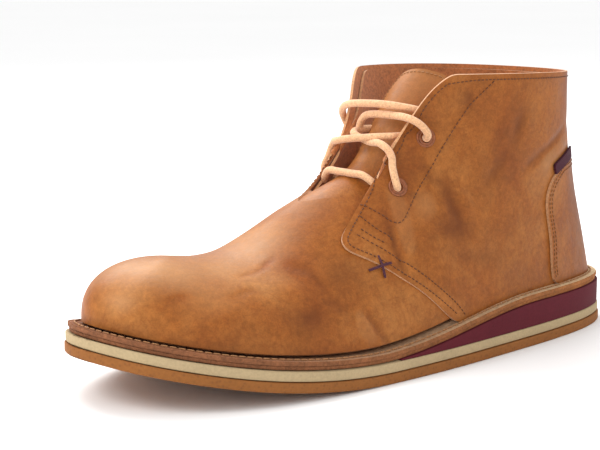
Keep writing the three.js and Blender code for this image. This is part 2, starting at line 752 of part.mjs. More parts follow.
const counter = panel(COUNTER_EDGE, COUNTER_BACK, counterRows, COUNTER_COLUMNS, onQuarter, counterTop);
piece("counter", counter, leather);
piece("tongue", tongueShape(), leather);
piece("side_tab", tabShape(), burgundy);
for (const place of eyeletPlaces) piece(place.name, eyeletShape(place), brass);
piece("lace_bar", laceBar(), cordFinish);
piece("lace_crossing", laceCrossing(), cordFinish);
piece("lace_end_outer", laceEnd(OUTER_END), cordFinish);
piece("lace_end_inner", laceEnd(INNER_END), cordFinish);

export default boot;
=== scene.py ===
# A left chukka boot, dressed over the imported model, which is loaded as the frame.
# Lengths are in metres: +X to the toe, +Y to the outer side, +Z up, the floor at 0.
import math

import bpy
import numpy as np
from bpy.props import FloatProperty, FloatVectorProperty, IntProperty, PointerProperty
from mathutils import Matrix, Vector
from mathutils.bvhtree import BVHTree


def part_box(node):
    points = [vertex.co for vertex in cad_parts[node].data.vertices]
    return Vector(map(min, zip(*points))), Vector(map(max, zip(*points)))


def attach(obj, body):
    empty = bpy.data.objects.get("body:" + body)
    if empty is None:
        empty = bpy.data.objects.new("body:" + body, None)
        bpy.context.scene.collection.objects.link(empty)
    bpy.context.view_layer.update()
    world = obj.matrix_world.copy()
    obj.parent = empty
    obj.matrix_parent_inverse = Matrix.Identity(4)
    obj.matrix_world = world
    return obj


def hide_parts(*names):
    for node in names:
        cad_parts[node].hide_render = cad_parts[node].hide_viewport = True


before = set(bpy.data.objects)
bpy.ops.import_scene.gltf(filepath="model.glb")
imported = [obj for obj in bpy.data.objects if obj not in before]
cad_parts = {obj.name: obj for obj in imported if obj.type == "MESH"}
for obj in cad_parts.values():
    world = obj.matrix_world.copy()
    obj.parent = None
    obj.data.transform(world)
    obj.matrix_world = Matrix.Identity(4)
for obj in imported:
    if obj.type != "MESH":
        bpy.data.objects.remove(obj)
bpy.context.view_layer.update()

bl_info = {
    "name": "Chukka boot",
    "version": (1, 0, 0),
    "blender": (4, 5, 0),
    "location": "3D View > Sidebar > Boot",
    "description": "Dresses the packed model of a chukka boot in leather, thread, rubber and lace",
    "category": "Object",
}

MM = 0.001
SOLE_LOW, SOLE_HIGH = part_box("outsole")
LENGTH = SOLE_HIGH.x - SOLE_LOW.x
WIDTH = SOLE_HIGH.y - SOLE_LOW.y


def table(names, *rows):
    """A table of sections as one array for each named column."""
    return dict(zip(names.split(), np.array(rows, float).T))


# Plan of the sole, from the toe tip to the heel, as shares of its half length and half width
PLAN = table(
    "at outer inner",
    (1.0, -0.02, 0.02), (0.979, 0.25, 0.25), (0.91, 0.54, 0.525), (0.783, 0.77, 0.74), (0.6, 0.94, 0.905),
    (0.4, 1.0, 0.99), (0.2, 0.99, 0.94), (-0.07, 0.94, 0.78), (-0.33, 0.85, 0.65), (-0.6, 0.735, 0.61),
    (-0.8, 0.6, 0.55), (-0.935, 0.405, 0.4), (-1.0, 0.01, -0.01),
)
# Ridge of the closed form: reach from the collar's front to the toe, rise from toe height to collar height
RIDGE = table(
    "at reach rise",
    (0, 0.71, -0.012), (0.05, 0.70, -0.012), (0.13, 0.672, -0.015), (0.21, 0.62, -0.03), (0.3, 0.535, -0.045),
    (0.38, 0.43, -0.015), (0.46, 0.315, 0.115), (0.51, 0.225, 0.235), (0.55, 0.13, 0.33), (0.58, 0.07, 0.52),
    (0.61, 0, 1),
)
COLLAR = table("at turn", (0.61, 0), (0.67, 42), (0.76, 86), (0.86, 126), (0.93, 153), (1, 180))
PROFILE = table(
    "at lean low high over",
    (0, 0.12, 0.75, 0.95, 1), (0.06, 0.12, 0.75, 0.95, 1), (0.17, 0.12, 0.72, 0.9, 1),
    (0.3, 0.1, 0.62, 0.6, 1), (0.42, 0.05, 0.52, 0.42, 1), (0.52, 0, 0.44, 0.32, 1),
    (0.58, -0.04, 0.4, 0.3, 0.6), (0.65, -0.08, 0.36, 0.28, 0.25), (0.74, -0.1, 0.34, 0.36, 0.04),
    (0.82, -0.1, 0.32, 0.42, 0), (0.92, -0.12, 0.3, 0.48, 0), (1, -0.12, 0.3, 0.5, 0),
)
TONGUE = table(
    "at reach rise half shift bow skew",
    (0, 0.2105, 0.215, 0.7, -0.05, 0.4, 0), (0.12, 0.145, 0.268, 0.78, -0.04, 0.42, 0),
    (0.25, 0.066, 0.332, 0.84, 0, 0.46, 0.02), (0.38, 0.013, 0.415, 0.88, 0.05, 0.5, 0.06),
    (0.52, -0.03, 0.521, 0.9, 0.09, 0.5, 0.1), (0.67, -0.078, 0.662, 0.9, 0.105, 0.51, 0.16),
    (0.82, -0.122, 0.803, 0.86, 0.12, 0.46, 0.2), (0.93, -0.17, 0.93, 0.78, 0.14, 0.34, 0.22),
    (1, -0.204, 1.01, 0.56, 0.15, 0.24, 0.22),
)
# Front edge of the quarters from the welt round the corner to the collar; rear is the row's share at the heel
QUARTER_EDGE = table(
    "at around up rear",
    (0, 0.603, 0, 0), (0.12, 0.573, 0.169, 0.15), (0.22, 0.548, 0.303, 0.28), (0.32, 0.524, 0.43, 0.4),
    (0.4, 0.504, 0.5, 0.48), (0.45, 0.501, 0.545, 0.53), (0.49, 0.503, 0.579, 0.57),
    (0.53, 0.509, 0.602, 0.6), (0.58, 0.524, 0.647, 0.65), (0.64, 0.547, 0.705, 0.7),
    (0.68, 0.563, 0.727, 0.73), (0.72, 0.58, 0.73, 0.76), (0.76, 0.591, 0.717, 0.79),
    (0.8, 0.603, 0.709, 0.82), (0.87, 0.644, 0.787, 0.87), (0.92, 0.658, 0.862, 0.92),
    (0.96, 0.672, 0.927, 0.96), (0.985, 0.684, 0.98, 0.985), (1, 0.696, 1, 1),
)
COUNTER_EDGE = table(
    "at around up",
    (0, 0.763, 0), (0.3, 0.777, 0.2), (0.55, 0.78, 0.34), (0.75, 0.787, 0.43), (0.88, 0.802, 0.5),
    (0.95, 0.822, 0.56), (1, 0.85, 0.617),
)
COUNTER_BACK = 0.66
VAMP_EDGE = table(
    "at around",
    (0, 0.632), (0.17, 0.602), (0.3, 0.577), (0.43, 0.56), (0.5, 0.557), (0.6, 0.56), (0.72, 0.562),
    (0.8, 0.553), (0.9, 0.525), (1, 0.505),
)
# Routes of the two free lace ends from the upper eyelets, in millimetres
OUTER_END = (
    (-16.3, 27.1, 99.9), (-15.4, 28.6, 101.6), (-13.6, 28, 104.6), (-11.2, 25.4, 107.4), (-9.6, 20.2, 109),
    (-9.6, 13, 109.2), (-8.9, 6, 109.2), (-8.5, 0, 108.9), (-8.4, -5, 107.9), (-8.8, -8.6, 105.2),
    (-9, -10.2, 101.6), (-9.2, -10.8, 97.8),
)
INNER_END = (
    (-16.8, -24, 99.6), (-15.6, -25.6, 101.2), (-13.2, -25.6, 104.6), (-10.2, -23.6, 108),
    (-7.6, -19.6, 110.8), (-6, -14, 112.6), (-5.6, -8, 113.4), (-6.2, -2, 113.8), (-7.6, 4, 114),
    (-9.6, 9.4, 113.8), (-12.2, 14, 113.2), (-15.4, 17.6, 112.4), (-18.8, 20, 111.4),
)
EYELETS = {"low": (0.583, 0.611), "high": (0.648, 0.698)}

# Creases: from and to on the skin, half width and depth in millimetres, below 0 a trough
CREASES = (
    ((0.495, 0.20), (0.508, 0.09), 1.5, -0.8), ((0.508, 0.09), (0.517, 0.02), 1.5, -0.7),
    ((0.480, 0.20), (0.495, 0.08), 3.0, 0.5), ((0.568, 0.66), (0.559, 0.547), 1.4, -0.8),
    ((0.559, 0.547), (0.554, 0.44), 1.4, -1.0), ((0.554, 0.44), (0.552, 0.31), 1.6, -0.8),
    ((0.580, 0.62), (0.568, 0.40), 2.8, 0.5), ((0.589, 0.59), (0.640, 0.50), 1.3, -0.5),
    ((0.870, 0.783), (0.80, 0.665), 2.2, -0.7), ((0.80, 0.665), (0.765, 0.585), 2.6, -0.6),
    ((0.885, 0.74), (0.810, 0.62), 3.5, 0.5), ((0.757, 0.713), (0.777, 0.84), 3.4, -0.6),
    ((0.714, 0.93), (0.708, 0.84), 2.4, -0.5), ((0.73, 0.613), (0.70, 0.50), 3.0, -0.5),
    ((0.643, 0.50), (0.641, 0.353), 3.4, -0.6), ((0.66, 0.46), (0.66, 0.36), 4.0, 0.4),
    ((0.590, 0.347), (0.650, 0.30), 4.0, -0.5), ((0.61, 0.24), (0.68, 0.18), 4.0, -0.45),
    ((0.324, 0.62), (0.37, 0.65), 1.8, -0.2), ((0.37, 0.65), (0.402, 0.71), 1.8, -0.25),
    ((0.301, 0.44), (0.34, 0.50), 2.2, -0.25), ((0.196, 0.357), (0.23, 0.42), 2.2, -0.2),
    ((0.392, 0.247), (0.43, 0.27), 4.0, -0.5), ((0.443, 0.453), (0.446, 0.393), 2.2, -0.6),
    ((0.46, 0.50), (0.452, 0.36), 3.4, 0.45), ((0.42, 0.60), (0.44, 0.50), 3.0, -0.5),
    ((0.44, 0.35), (0.47, 0.22), 3.4, -0.45), ((0.36, 0.55), (0.43, 0.34), 7.0, 0.35),
    ((0.90, 0.80), (0.97, 0.86), 4.0, -0.4), ((-0.50, 0.62), (-0.46, 0.36), 2.4, -0.6),
    ((-0.44, 0.55), (-0.42, 0.30), 3.4, 0.45), ((-0.60, 0.45), (-0.67, 0.38), 3.0, -0.5),
    ((-0.64, 0.60), (-0.72, 0.52), 3.0, -0.5), ((-0.78, 0.70), (-0.86, 0.62), 3.4, -0.45),
)
# Painted light and scuffs in the leather's colour: place on the skin, spread in millimetres, and shade. Above
# 0 a painted highlight, as along the vamp's top and on the toe; below 0 a darker scuff, or painted shade
# along creases, on the heel counter and on the flaps
SCUFFS_AND_PAINTED_LIGHT = (
    ((-0.05, 0.66), 12, 0.3), ((0.10, 0.66), 14, 0.35), ((0.20, 0.68), 14, 0.4), ((0.30, 0.74), 14, 0.4),
    ((0.38, 0.84), 13, 0.4), ((0.44, 0.92), 12, 0.3), ((0.102, 0.237), 8, 0.45), ((-0.25, 0.72), 15, 0.3),
    ((0.52, 1.0), 12, 0.25), ((0.28, 0.35), 12, 0.2), ((-0.40, 0.85), 14, 0.3), ((0.396, 0.243), 13, -0.45),
    ((0.462, 0.453), 10, -0.4), ((0.49, 0.417), 8, -0.45), ((0.30, 0.12), 12, -0.35),
    ((0.12, 0.05), 12, -0.35), ((0.641, 0.365), 9, -0.5), ((0.60, 0.60), 9, -0.3), ((0.643, 0.50), 7, -0.3),
    ((0.73, 0.62), 12, -0.35), ((0.777, 0.84), 8, -0.35), ((0.71, 0.90), 6, -0.3),
    ((0.70, 0.20), 16, -0.25), ((0.60, 0.45), 8, 0.25), ((0.66, 0.80), 12, -0.15), ((0.81, 0.60), 10, 0.2),
    ((0.90, 0.45), 16, -0.6), ((0.91, 0.20), 16, -0.6), ((0.95, 0.60), 12, -0.4), ((-0.30, 0.45), 16, -0.4),
    ((-0.55, 0.40), 14, -0.4), ((-0.80, 0.70), 16, -0.3),
)


def linear(code):
    """Turns a colour such as #aa7744 into linear red, green and blue."""
    parts = [int(code[i:i + 2], 16) / 255 for i in (1, 3, 5)]
    return tuple(c / 12.92 if c <= 0.04045 else ((c + 0.055) / 1.055) ** 2.4 for c in parts)


# Form of the boot
def step(x, start, end):
    """A soft step from 0 at start to 1 at end."""
    t = np.clip((x - start) / (end - start), 0, 1)
    return t * t * (3 - 2 * t)


def smooth(rows, name, at):
    """A smooth line through one column of a table, against its column at."""
    xs, ys = rows["at"], rows[name]
    at = np.asarray(at, float)
    i = np.clip(np.searchsorted(xs, at, side="left") - 1, 0, len(xs) - 2)
    slopes = np.empty_like(ys)
    slopes[1:-1] = (ys[2:] - ys[:-2]) / (xs[2:] - xs[:-2])
    slopes[0] = (ys[1] - ys[0]) / (xs[1] - xs[0])
    slopes[-1] = (ys[-1] - ys[-2]) / (xs[-1] - xs[-2])
    span = xs[i + 1] - xs[i]
    t = np.clip((at - xs[i]) / span, 0, 1)
    s = 1 - t
    start = ys[i] * (1 + 2 * t) + slopes[i] * span * t
    end = ys[i + 1] * (1 + 2 * s) - slopes[i + 1] * span * s
    return start * s * s + end * t * t


PLAN_RING = np.concatenate([
    np.stack([PLAN["at"], PLAN["outer"]], 1),
    np.stack([PLAN["at"], -PLAN["inner"]], 1)[1:-1][::-1],
])


def ring_point(share):
    """A point of the closed curve through the plan's points, at a share of its run."""
    count = len(PLAN_RING)
    place = (np.asarray(share, float) % 1) * count
    i = place.astype(int) % count
    w = (place - np.floor(place))[..., None]
    p = [PLAN_RING[(i + k - 1) % count] for k in range(4)]
    d = [np.maximum(np.linalg.norm(p[k + 1] - p[k], axis=-1) ** 0.5, 1e-4)[..., None] for k in range(3)]
    t1 = ((p[1] - p[0]) / d[0] - (p[2] - p[0]) / (d[0] + d[1]) + (p[2] - p[1]) / d[1]) * d[1]
    t2 = ((p[2] - p[1]) / d[1] - (p[3] - p[1]) / (d[1] + d[2]) + (p[3] - p[2]) / d[2]) * d[1]
    square = (-3 * p[1] + 3 * p[2] - 2 * t1 - t2) * w * w
    return p[1] + t1 * w + square + (2 * p[1] - 2 * p[2] + t1 + t2) * w ** 3


RING = ring_point(np.arange(961) / 960)
RING_LOW, RING_HIGH = RING.min(0), RING.max(0)


def plan(way, inset=0.0):
    """The sole's outline, set in: way runs 0 at the toe, 1 at the heel and 2 at the toe. Also its outside."""
    def real(share):
        return ((ring_point(share) - RING_LOW) / (RING_HIGH - RING_LOW) - 0.5) * [LENGTH, WIDTH]

    share = np.asarray(way, float) / 2
    run = real(share + 1e-4) - real(share - 1e-4)
    run /= np.linalg.norm(run, axis=-1, keepdims=True)
    out = np.stack([run[..., 1], -run[..., 0]], -1)
    return real(share) - out * np.asarray(inset)[..., None], out


GAP = 0.3 * MM
OUTSOLE, MIDSOLE, WELT = 4.5 * MM, 4.3 * MM, 3.8 * MM
# The toe springs up from here on, as a share of the sole's half length, and the wedge grows over this span
TOE_SPRING, SPRING_START = 20 * MM, 0.16
WEDGE_HEIGHT, WEDGE_SPAN = 11 * MM, (-0.23, 0.52)


def ground(x):
    """Height of the outsole's floor side."""
    share = (x / (LENGTH / 2) - SPRING_START) / (1 - SPRING_START)
    return TOE_SPRING * np.clip(share, 0, None) ** 1.8


def wedge_rise(x):
    """Thickness of the wedge, with the gap over it."""
    return WEDGE_HEIGHT * step(-x / (LENGTH / 2), *WEDGE_SPAN)


def midsole_low(x):
    return ground(x) + OUTSOLE + GAP


def welt_low(x):
    return midsole_low(x) + MIDSOLE + GAP + wedge_rise(x)


def footing(x):
    """Height that the upper and the insole stand on."""
    return welt_low(x) + WELT + GAP


COLLAR_LENGTH, COLLAR_WIDTH, COLLAR_DROOP = 123 * MM, 72 * MM, 4 * MM
COLLAR_REAR = -LENGTH / 2 + 26.2 * MM
COLLAR_FRONT = COLLAR_REAR + COLLAR_LENGTH
TOE_HEIGHT, SHAFT_HEIGHT = 57 * MM, 128 * MM
COLLAR_START = COLLAR["at"][0]
# Distance of the upper's foot from the sole's edge, and what is added to it at the heel
UPPER_INSET, HEEL_INSET = 7 * MM, 2 * MM
TONGUE_HALF = 20 * MM
LEATHER, OVERLAY = 1.5 * MM, 1.2 * MM
LINING_LIFT = -0.7 * MM
# The counter stands this far out at the foot of the heel
COUNTER_BULGE = 1.9 * MM
# The inner flap's front edge stands this much further forward, as a share of the way round
INNER_FORWARD = 0.011
# Painted light on the tongue: it grows paler by a step of shade, from one height to another
PAINTED_LIGHT_STEP, TONGUE_PAINTED_LIGHT = 0.25, (0.078, 0.098)
INSOLE, INSOLE_INSET = 2.6 * MM, 11.4 * MM
# The vamp is smoothed this far round the toe box's crown
CROWN_EASE = 30 * MM
# Step of the lines that stitches and laces are measured along
LINE_STEP = 1 * MM
TAB_THICK, TAB_LIFT = 1.1 * MM, 1.5 * MM
# Where the tab runs round the skin, and its lower and upper edge over the counter's edge
TAB_AROUND, TAB_UP = (0.822, 0.914), (0.004, 0.056)
# The welt's stitching: its distance from the sole's edge, pitch, thread, and length of a stitch
WELT_ROW, WELT_PITCH, WELT_THICK, WELT_STITCH = 4.4 * MM, 3.6 * MM, 0.9 * MM, 2.9 * MM


def ridge(at):
    """A point of the upper's middle line, from the toe at 0 to the collar's front."""
    x = COLLAR_FRONT + smooth(RIDGE, "reach", at) * (LENGTH / 2 - COLLAR_FRONT)
    y = -0.09 * WIDTH / 2 * step(x, COLLAR_FRONT, LENGTH / 4)
    return np.stack([x, y, TOE_HEIGHT + smooth(RIDGE, "rise", at) * (SHAFT_HEIGHT - TOE_HEIGHT)], -1)


def skin_top(at, side):
    """A point of the upper's top: along the ridge, and from the collar's front along the collar's rim."""
    turn = np.radians(smooth(COLLAR, "turn", at))
    x = COLLAR_REAR + COLLAR_LENGTH / 2 * (1 + np.cos(turn))
    z = SHAFT_HEIGHT - COLLAR_DROOP * (1 - np.cos(turn)) ** 2 / 4
    rim = np.stack([x, side * COLLAR_WIDTH / 2 * np.sin(turn), z], -1)
    return np.where((at < COLLAR_START)[..., None], ridge(at), rim)


def ridge_slope(at):
    """Rise of the ridge per length along X."""
    ahead, behind = ridge(np.minimum(at + 0.01, COLLAR_START)), ridge(np.maximum(at - 0.01, 0))
    run = ahead[..., 0] - behind[..., 0]
    safe = np.where(np.abs(run) > 1e-9, run, 1)
    return np.where(np.abs(run) > 1e-9, (ahead[..., 2] - behind[..., 2]) / safe, 0)


def levelling(start, end, share):
    """Goes from start to end, fast at first and level at the end."""
    return start + (end - start) * (1 - (1 - share) ** 3)


def both_sides(around, up, forward=0.0):
    """Rows that end at the back seam, carried on round the inner side, there set forward."""
    around = np.concatenate([around, 2 - (around - forward)[:, -2::-1]], 1)
    return around, np.concatenate([up, up[:, -2::-1]], 1)


def unit(v):
    return v / np.linalg.norm(v, axis=-1, keepdims=True)


def skin(around, up):
    """A point of the upper's skin: around 0 at the toe, 1 at the back seam, negative on the inner side."""
    around, up = np.broadcast_arrays(np.asarray(around, float), np.asarray(up, float))
    way = around % 2
    at = np.where(way <= 1, way, 2 - way)
    side = np.where(way <= 1, 1.0, -1.0)
    place, out = plan(way, UPPER_INSET + HEEL_INSET * step(at, 0.6, 0.85))
    foot = np.concatenate([place, footing(place[..., 0])[..., None]], -1)
    top = skin_top(at, side)
    height = (top - foot)[..., 2:3]
    rise = np.concatenate([out * smooth(PROFILE, "lean", at)[..., None], np.ones_like(height)], -1)
    lower = foot + rise * height * smooth(PROFILE, "low", at)[..., None]
    across = top - foot
    across[..., 2] = 0
    across = unit(across)
    across[..., 2] = across[..., 0] * ridge_slope(at)
    over = np.clip(smooth(PROFILE, "over", at), 0, 1)[..., None]
    tip = unit(unit(across) * over + np.array([0, 0, 1]) * (1 - over))
    upper = top - tip * height * smooth(PROFILE, "high", at)[..., None]
    t = up[..., None]
    s = 1 - t
    place = foot * s ** 3 + 3 * lower * s * s * t + 3 * upper * s * t * t + top * t ** 3
    place[..., 2] -= GAP * 2 * (1 - step(up, 0, 0.08))
    return place


def skin_normal(around, up):
    """The skin's outward direction, from steps to both sides."""
    d = 1e-3
    around, up = np.broadcast_arrays(np.asarray(around, float), np.asarray(up, float))
    along = skin(around + d, up) - skin(around - d, up)
    rising = skin(around, np.minimum(up + d, 1)) - skin(around, np.maximum(up - d, 0))
    normal = np.cross(along, rising)
    normal[..., 2] = np.where(up < d, 0, normal[..., 2])
    return unit(normal)


def lifted(around, up, lift):
    """A point over the skin, by a lift in metres."""
    return skin(around, up) + skin_normal(around, up) * np.asarray(lift)[..., None]


def on_tongue(along, across, lift):
    """A point over the tongue: along 0 at its root to 1 at its top, across -1 to 1 at the outer edge."""
    along, across = np.broadcast_arrays(np.asarray(along, float), np.asarray(across, float))

    def spine(at):
        x = COLLAR_FRONT + smooth(TONGUE, "reach", at) * (LENGTH / 2 - COLLAR_FRONT)
        z = TOE_HEIGHT + smooth(TONGUE, "rise", at) * (SHAFT_HEIGHT - TOE_HEIGHT)
        return np.stack([x, 0 * x, z], -1)

    run = unit(spine(np.minimum(along + 0.02, 1)) - spine(np.maximum(along - 0.02, 0)))
    normal = np.stack([run[..., 2], 0 * along, -run[..., 0]], -1)
    place = spine(along)
    place[..., 1] = smooth(TONGUE, "shift", along) * COLLAR_WIDTH / 2
    place[..., 1] += across * smooth(TONGUE, "half", along) * TONGUE_HALF
    place[..., 0] -= smooth(TONGUE, "skew", along) * TONGUE_HALF * across
    bow = -smooth(TONGUE, "bow", along) * TONGUE_HALF * across * across + lift
    return place + normal * bow[..., None]


def relief(points, lift=0.0):
    """Height of the creases at each point of a sheet with this lift, faded at the ends of each crease."""
    height = np.zeros(len(points))
    share = np.linspace(0, 1, 25)
    for (a0, u0), (a1, u1), wide, deep in CREASES:
        line = lifted(a0 + (a1 - a0) * share, u0 + (u1 - u0) * share, lift)
        reach = np.linalg.norm(line[-1] - line[0]) + 3 * wide * MM
        near = np.linalg.norm(points - line[len(line) // 2], axis=1) < reach
        away = np.linalg.norm(points[near, None] - line[None], axis=2)
        ends = np.sin(math.pi * (0.15 + 0.7 * share[away.argmin(1)]))
        height[near] += deep * MM * ends * np.exp(-(away.min(1) / (wide * MM)) ** 2)
    return height


def shade(points, lift=0.0):
    """Scuffs, painted shade and painted highlights of the leather at each point, from -1 to 1, with painted
    shade in the creases' troughs and a little painted highlight on their ridges.
    """
    tone = np.zeros(len(points))
    for (around, up), spread, amount in SCUFFS_AND_PAINTED_LIGHT:
        away = np.linalg.norm(points - skin(around, up), axis=1)
        tone += amount * np.exp(-(away / (spread * MM)) ** 2)
    # Painted shade in the crease troughs, and a little painted highlight on their ridges
    return tone + np.minimum(relief(points, lift) / (0.9 * MM), 0.15)


# Settings in the sidebar
def length(name, text, value):
    return FloatProperty(name=name, description=text, default=value, min=0, unit="LENGTH", precision=5)


def colour(name, text, code):
    return FloatVectorProperty(name=name, description=text, default=linear(code), size=3, min=0, max=1,
                               subtype="COLOR")


class BootSizes(bpy.types.PropertyGroup):
    """Sizes of the scene's own pieces."""

    lace: length("Lace", "Diameter of the leather lace", 0.0034)
    lining: length("Lining", "Thickness of the lining inside the quarters", 0.0012)
    counter: length("Counter", "Thickness of the heel counter", 0.0013)
    tongue: length("Tongue", "Thickness of the tongue", 0.0018)
    stitch_length: length("Stitch length", "Length of one stitch of the upper's seams", 0.00135)
    stitch_pitch: length("Stitch pitch", "Distance from stitch to stitch", 0.0021)
    stitch_thick: length("Thread", "Thickness of the seam thread", 0.0005)
    edge_row: length("Edge row", "Distance of the stitching from a cut edge", 0.0024)
    edge_round: length("Edge round", "Rounding of the rubber layers' edges", 0.0007)
    welt_share: FloatProperty(name="Upper welt", description="Share of the welt's thickness in its top layer",
                              default=0.55, min=0.2, max=0.8)
    levels: IntProperty(name="Fineness", description="Subdivision levels of the leather pieces", default=3,
                        min=1, max=4)


class BootColours(bpy.types.PropertyGroup):
    """Colours of the boot and the stage."""

    leather: colour("Leather", "Middle tone of the waxed leather", "#915422")
    leather_dark: colour("Leather, dark", "Dark tone in the leather's folds and clouds", "#7a3d15")
    leather_light: colour("Leather, light", "Light tone where the wax is drawn", "#ac713a")
    # Colour for scuffs, and for painted shade in creases, on the heel counter and on the flaps
    leather_scuff_and_painted_shade: colour("Leather in scuffs", "Colour of scuffs and hollows", "#5e2f12")
    # Colour of the painted highlights along the vamp's top, on the toe and on the tongue's upper part
    leather_painted_highlight: colour("Leather drawn over bends", "Colour where it is drawn over a bend", "#c99a68")
    raw_edge: colour("Cut edge", "Cut edges of the leather", "#c49064")
    flesh: colour("Inside", "Inside of the leather and the lining", "#b06c3c")
    thread: colour("Thread", "Seam thread of the upper", "#5c3216")
    welt_thread: colour("Welt thread", "Thread that holds the welt", "#9c6c42")
    burgundy: colour("Burgundy", "Wedge of the sole", "#591722")
    cross: colour("Cross stitch", "Thread of the cross at the quarter's corner", "#471629")
    tab: colour("Tab", "Woven side tab", "#4a1a2a")
    cream: colour("Midsole", "Cream rubber sheet", "#b09a76")
    gum: colour("Outsole", "Gum rubber sheet with cork crumb", "#8f5a2c")
    welt: colour("Welt edge", "Edge of the leather welt at the heel", "#9a6134")
    welt_toe: colour("Welt at the toe", "Welt where it is darkened, at the toe", "#7e5034")
    welt_top: colour("Welt top", "Top of the welt at the heel", "#cdb08a")
    lace: colour("Lace", "Raw leather lace", "#dba97e")
    eyelet: colour("Eyelet", "Painted eyelet", "#8a5030")
    crumb: colour("Crumb", "Cork crumb in the gum outsole", "#6e4224")
    counter_thread: colour("Counter thread", "Thread of the heel counter's rows", "#7c4e2a")
    floor: colour("Floor", "Floor and backdrop", "#fbfbfb")


def sizes():
    return bpy.context.scene.boot_sizes


def colours():
    return bpy.context.scene.boot_colours


# Materials
def add_node(tree, kind, inputs=None, **settings):
    """Adds a shader node with its settings, and its inputs as values or as links from other nodes."""
    new = tree.nodes.new(kind)
    for name, value in settings.items():
        setattr(new, name, value)
    for name, value in (inputs or {}).items():
        if isinstance(value, bpy.types.NodeSocket):
            tree.links.new(value, new.inputs[name])
        else:
            new.inputs[name].default_value = value
    return new


def start_material(name, **shader):
    """A new material whose shader's named sockets get plain values, its node tree and object coordinates."""
    material = bpy.data.materials.new(name)
    material.use_nodes = True
    tree = material.node_tree
    for key, value in shader.items():
        socket = key.replace("_", " ").title().replace("Ior", "IOR")
        tree.nodes["Principled BSDF"].inputs[socket].default_value = value
    return material, tree, add_node(tree, "ShaderNodeTexCoord").outputs["Object"]


def finished(material, **links):
    """Links sockets to the named inputs of a material's shader, and gives the material back."""
    tree = material.node_tree
    for key, socket in links.items():
        tree.links.new(socket, tree.nodes["Principled BSDF"].inputs[key.replace("_", " ").title()])
    return material


def noise(tree, coordinates, scale, detail=3.0, roughness=0.5, distortion=0.0):
    """A noise texture's grey value."""
    inputs = {"Vector": coordinates, "Scale": scale, "Detail": detail, "Roughness": roughness,
              "Distortion": distortion}
    return add_node(tree, "ShaderNodeTexNoise", inputs).outputs["Fac"]


def ramp(tree, value, *stops):
    """A colour ramp with stops of place and colour."""
    new = add_node(tree, "ShaderNodeValToRGB", {"Fac": value})
    items = new.color_ramp.elements
    while len(items) < len(stops):
        items.new(0.5)
    for item, (place, shown) in zip(items, stops):
        item.position = place
        item.color = (*shown, 1)
    return new.outputs["Color"]


def mix(tree, share, first, second, blend="MIX"):
    """Two colours mixed by a share; each of the three is a plain value or a socket."""
    new = add_node(tree, "ShaderNodeMix", data_type="RGBA", blend_type=blend)
    for name, value in (("Factor_Float", share), ("A_Color", first), ("B_Color", second)):
        socket = next(s for s in new.inputs if s.identifier == name)
        if isinstance(value, bpy.types.NodeSocket):
            tree.links.new(value, socket)
        else:
            socket.default_value = value if name == "Factor_Float" else (*value, 1)
    return next(s for s in new.outputs if s.identifier == "Result_Color")


def bump(tree, height, distance, strength=1.0, below=None):
    """A bumped normal, over another one where it is given."""
    inputs = {"Height": height, "Distance": distance, "Strength": strength}
    if below is not None:
        inputs["Normal"] = below
    return add_node(tree, "ShaderNodeBump", inputs).outputs["Normal"]


def grey(v):
    return (v, v, v)


def toned(shown, factor):
    """A colour made darker or lighter."""
    return tuple(min(v * factor, 1) for v in shown)


def overlay(tree, share, base, value, low, high):
    """A colour with a grey pattern laid over it; low and high are the pattern's stops of place and grey."""
    pattern = ramp(tree, value, (low[0], grey(low[1])), (high[0], grey(high[1])))
    return mix(tree, share, base, pattern, "OVERLAY")


def finish_leather(name):
    """Waxed full grain leather: cloudy tan, fine pores and soft wrinkles, with scuffs, painted shade and
    painted highlights mixed in from the stored shade.
    """
    material, tree, spot = start_material(name, coat_weight=0.1, coat_roughness=0.36, specular_ior_level=0.1)
    c = colours()
    cloud = noise(tree, spot, 24, 5, 0.55, 0.5)
    blotch = noise(tree, spot, 85, 6, 0.6, 0.9)
    fine = noise(tree, spot, 420, 4, 0.6, 0.3)
    base = ramp(tree, cloud, (0.2, c.leather_dark), (0.5, c.leather), (0.85, c.leather_light))
    base = overlay(tree, 0.5, base, blotch, (0.3, 0.4), (0.7, 0.6))
    base = overlay(tree, 0.5, base, fine, (0.3, 0.33), (0.7, 0.66))
    base = overlay(tree, 0.4, base, noise(tree, spot, 1500, 2, 0.6), (0.3, 0.36), (0.7, 0.64))
    veins = noise(tree, spot, 48, 4, 0.6, 1.2)
    lines = ramp(tree, veins, (0.46, grey(0)), (0.5, grey(0.28)), (0.54, grey(0)))
    base = mix(tree, lines, base, c.leather_dark)
    # Stored shade below 0 mixes in the scuff and painted shade colour, above 0 the painted highlight colour
    tone = add_node(tree, "ShaderNodeAttribute", attribute_name="shade").outputs["Fac"]
    for reach, shown in ((-TONE_REACH, c.leather_scuff_and_painted_shade), (TONE_REACH, c.leather_painted_highlight)):
        share = add_node(tree, "ShaderNodeMath", {0: tone, 1: reach}, operation="MULTIPLY", use_clamp=True)
        base = mix(tree, share.outputs[0], base, shown)
    rough = ramp(tree, blotch, (0.3, grey(0.42)), (0.7, grey(0.58)))
    pores = add_node(tree, "ShaderNodeTexVoronoi", {"Vector": spot, "Scale": 900.0}).outputs["Distance"]
    wrinkles = bump(tree, noise(tree, spot, 130, 4, 0.55, 0.6), 0.0007, 0.35)
    grain = bump(tree, fine, 0.0003, 0.3, wrinkles)
    return finished(material, base_color=base, roughness=rough, normal=bump(tree, pores, 0.00012, 0.3, grain))


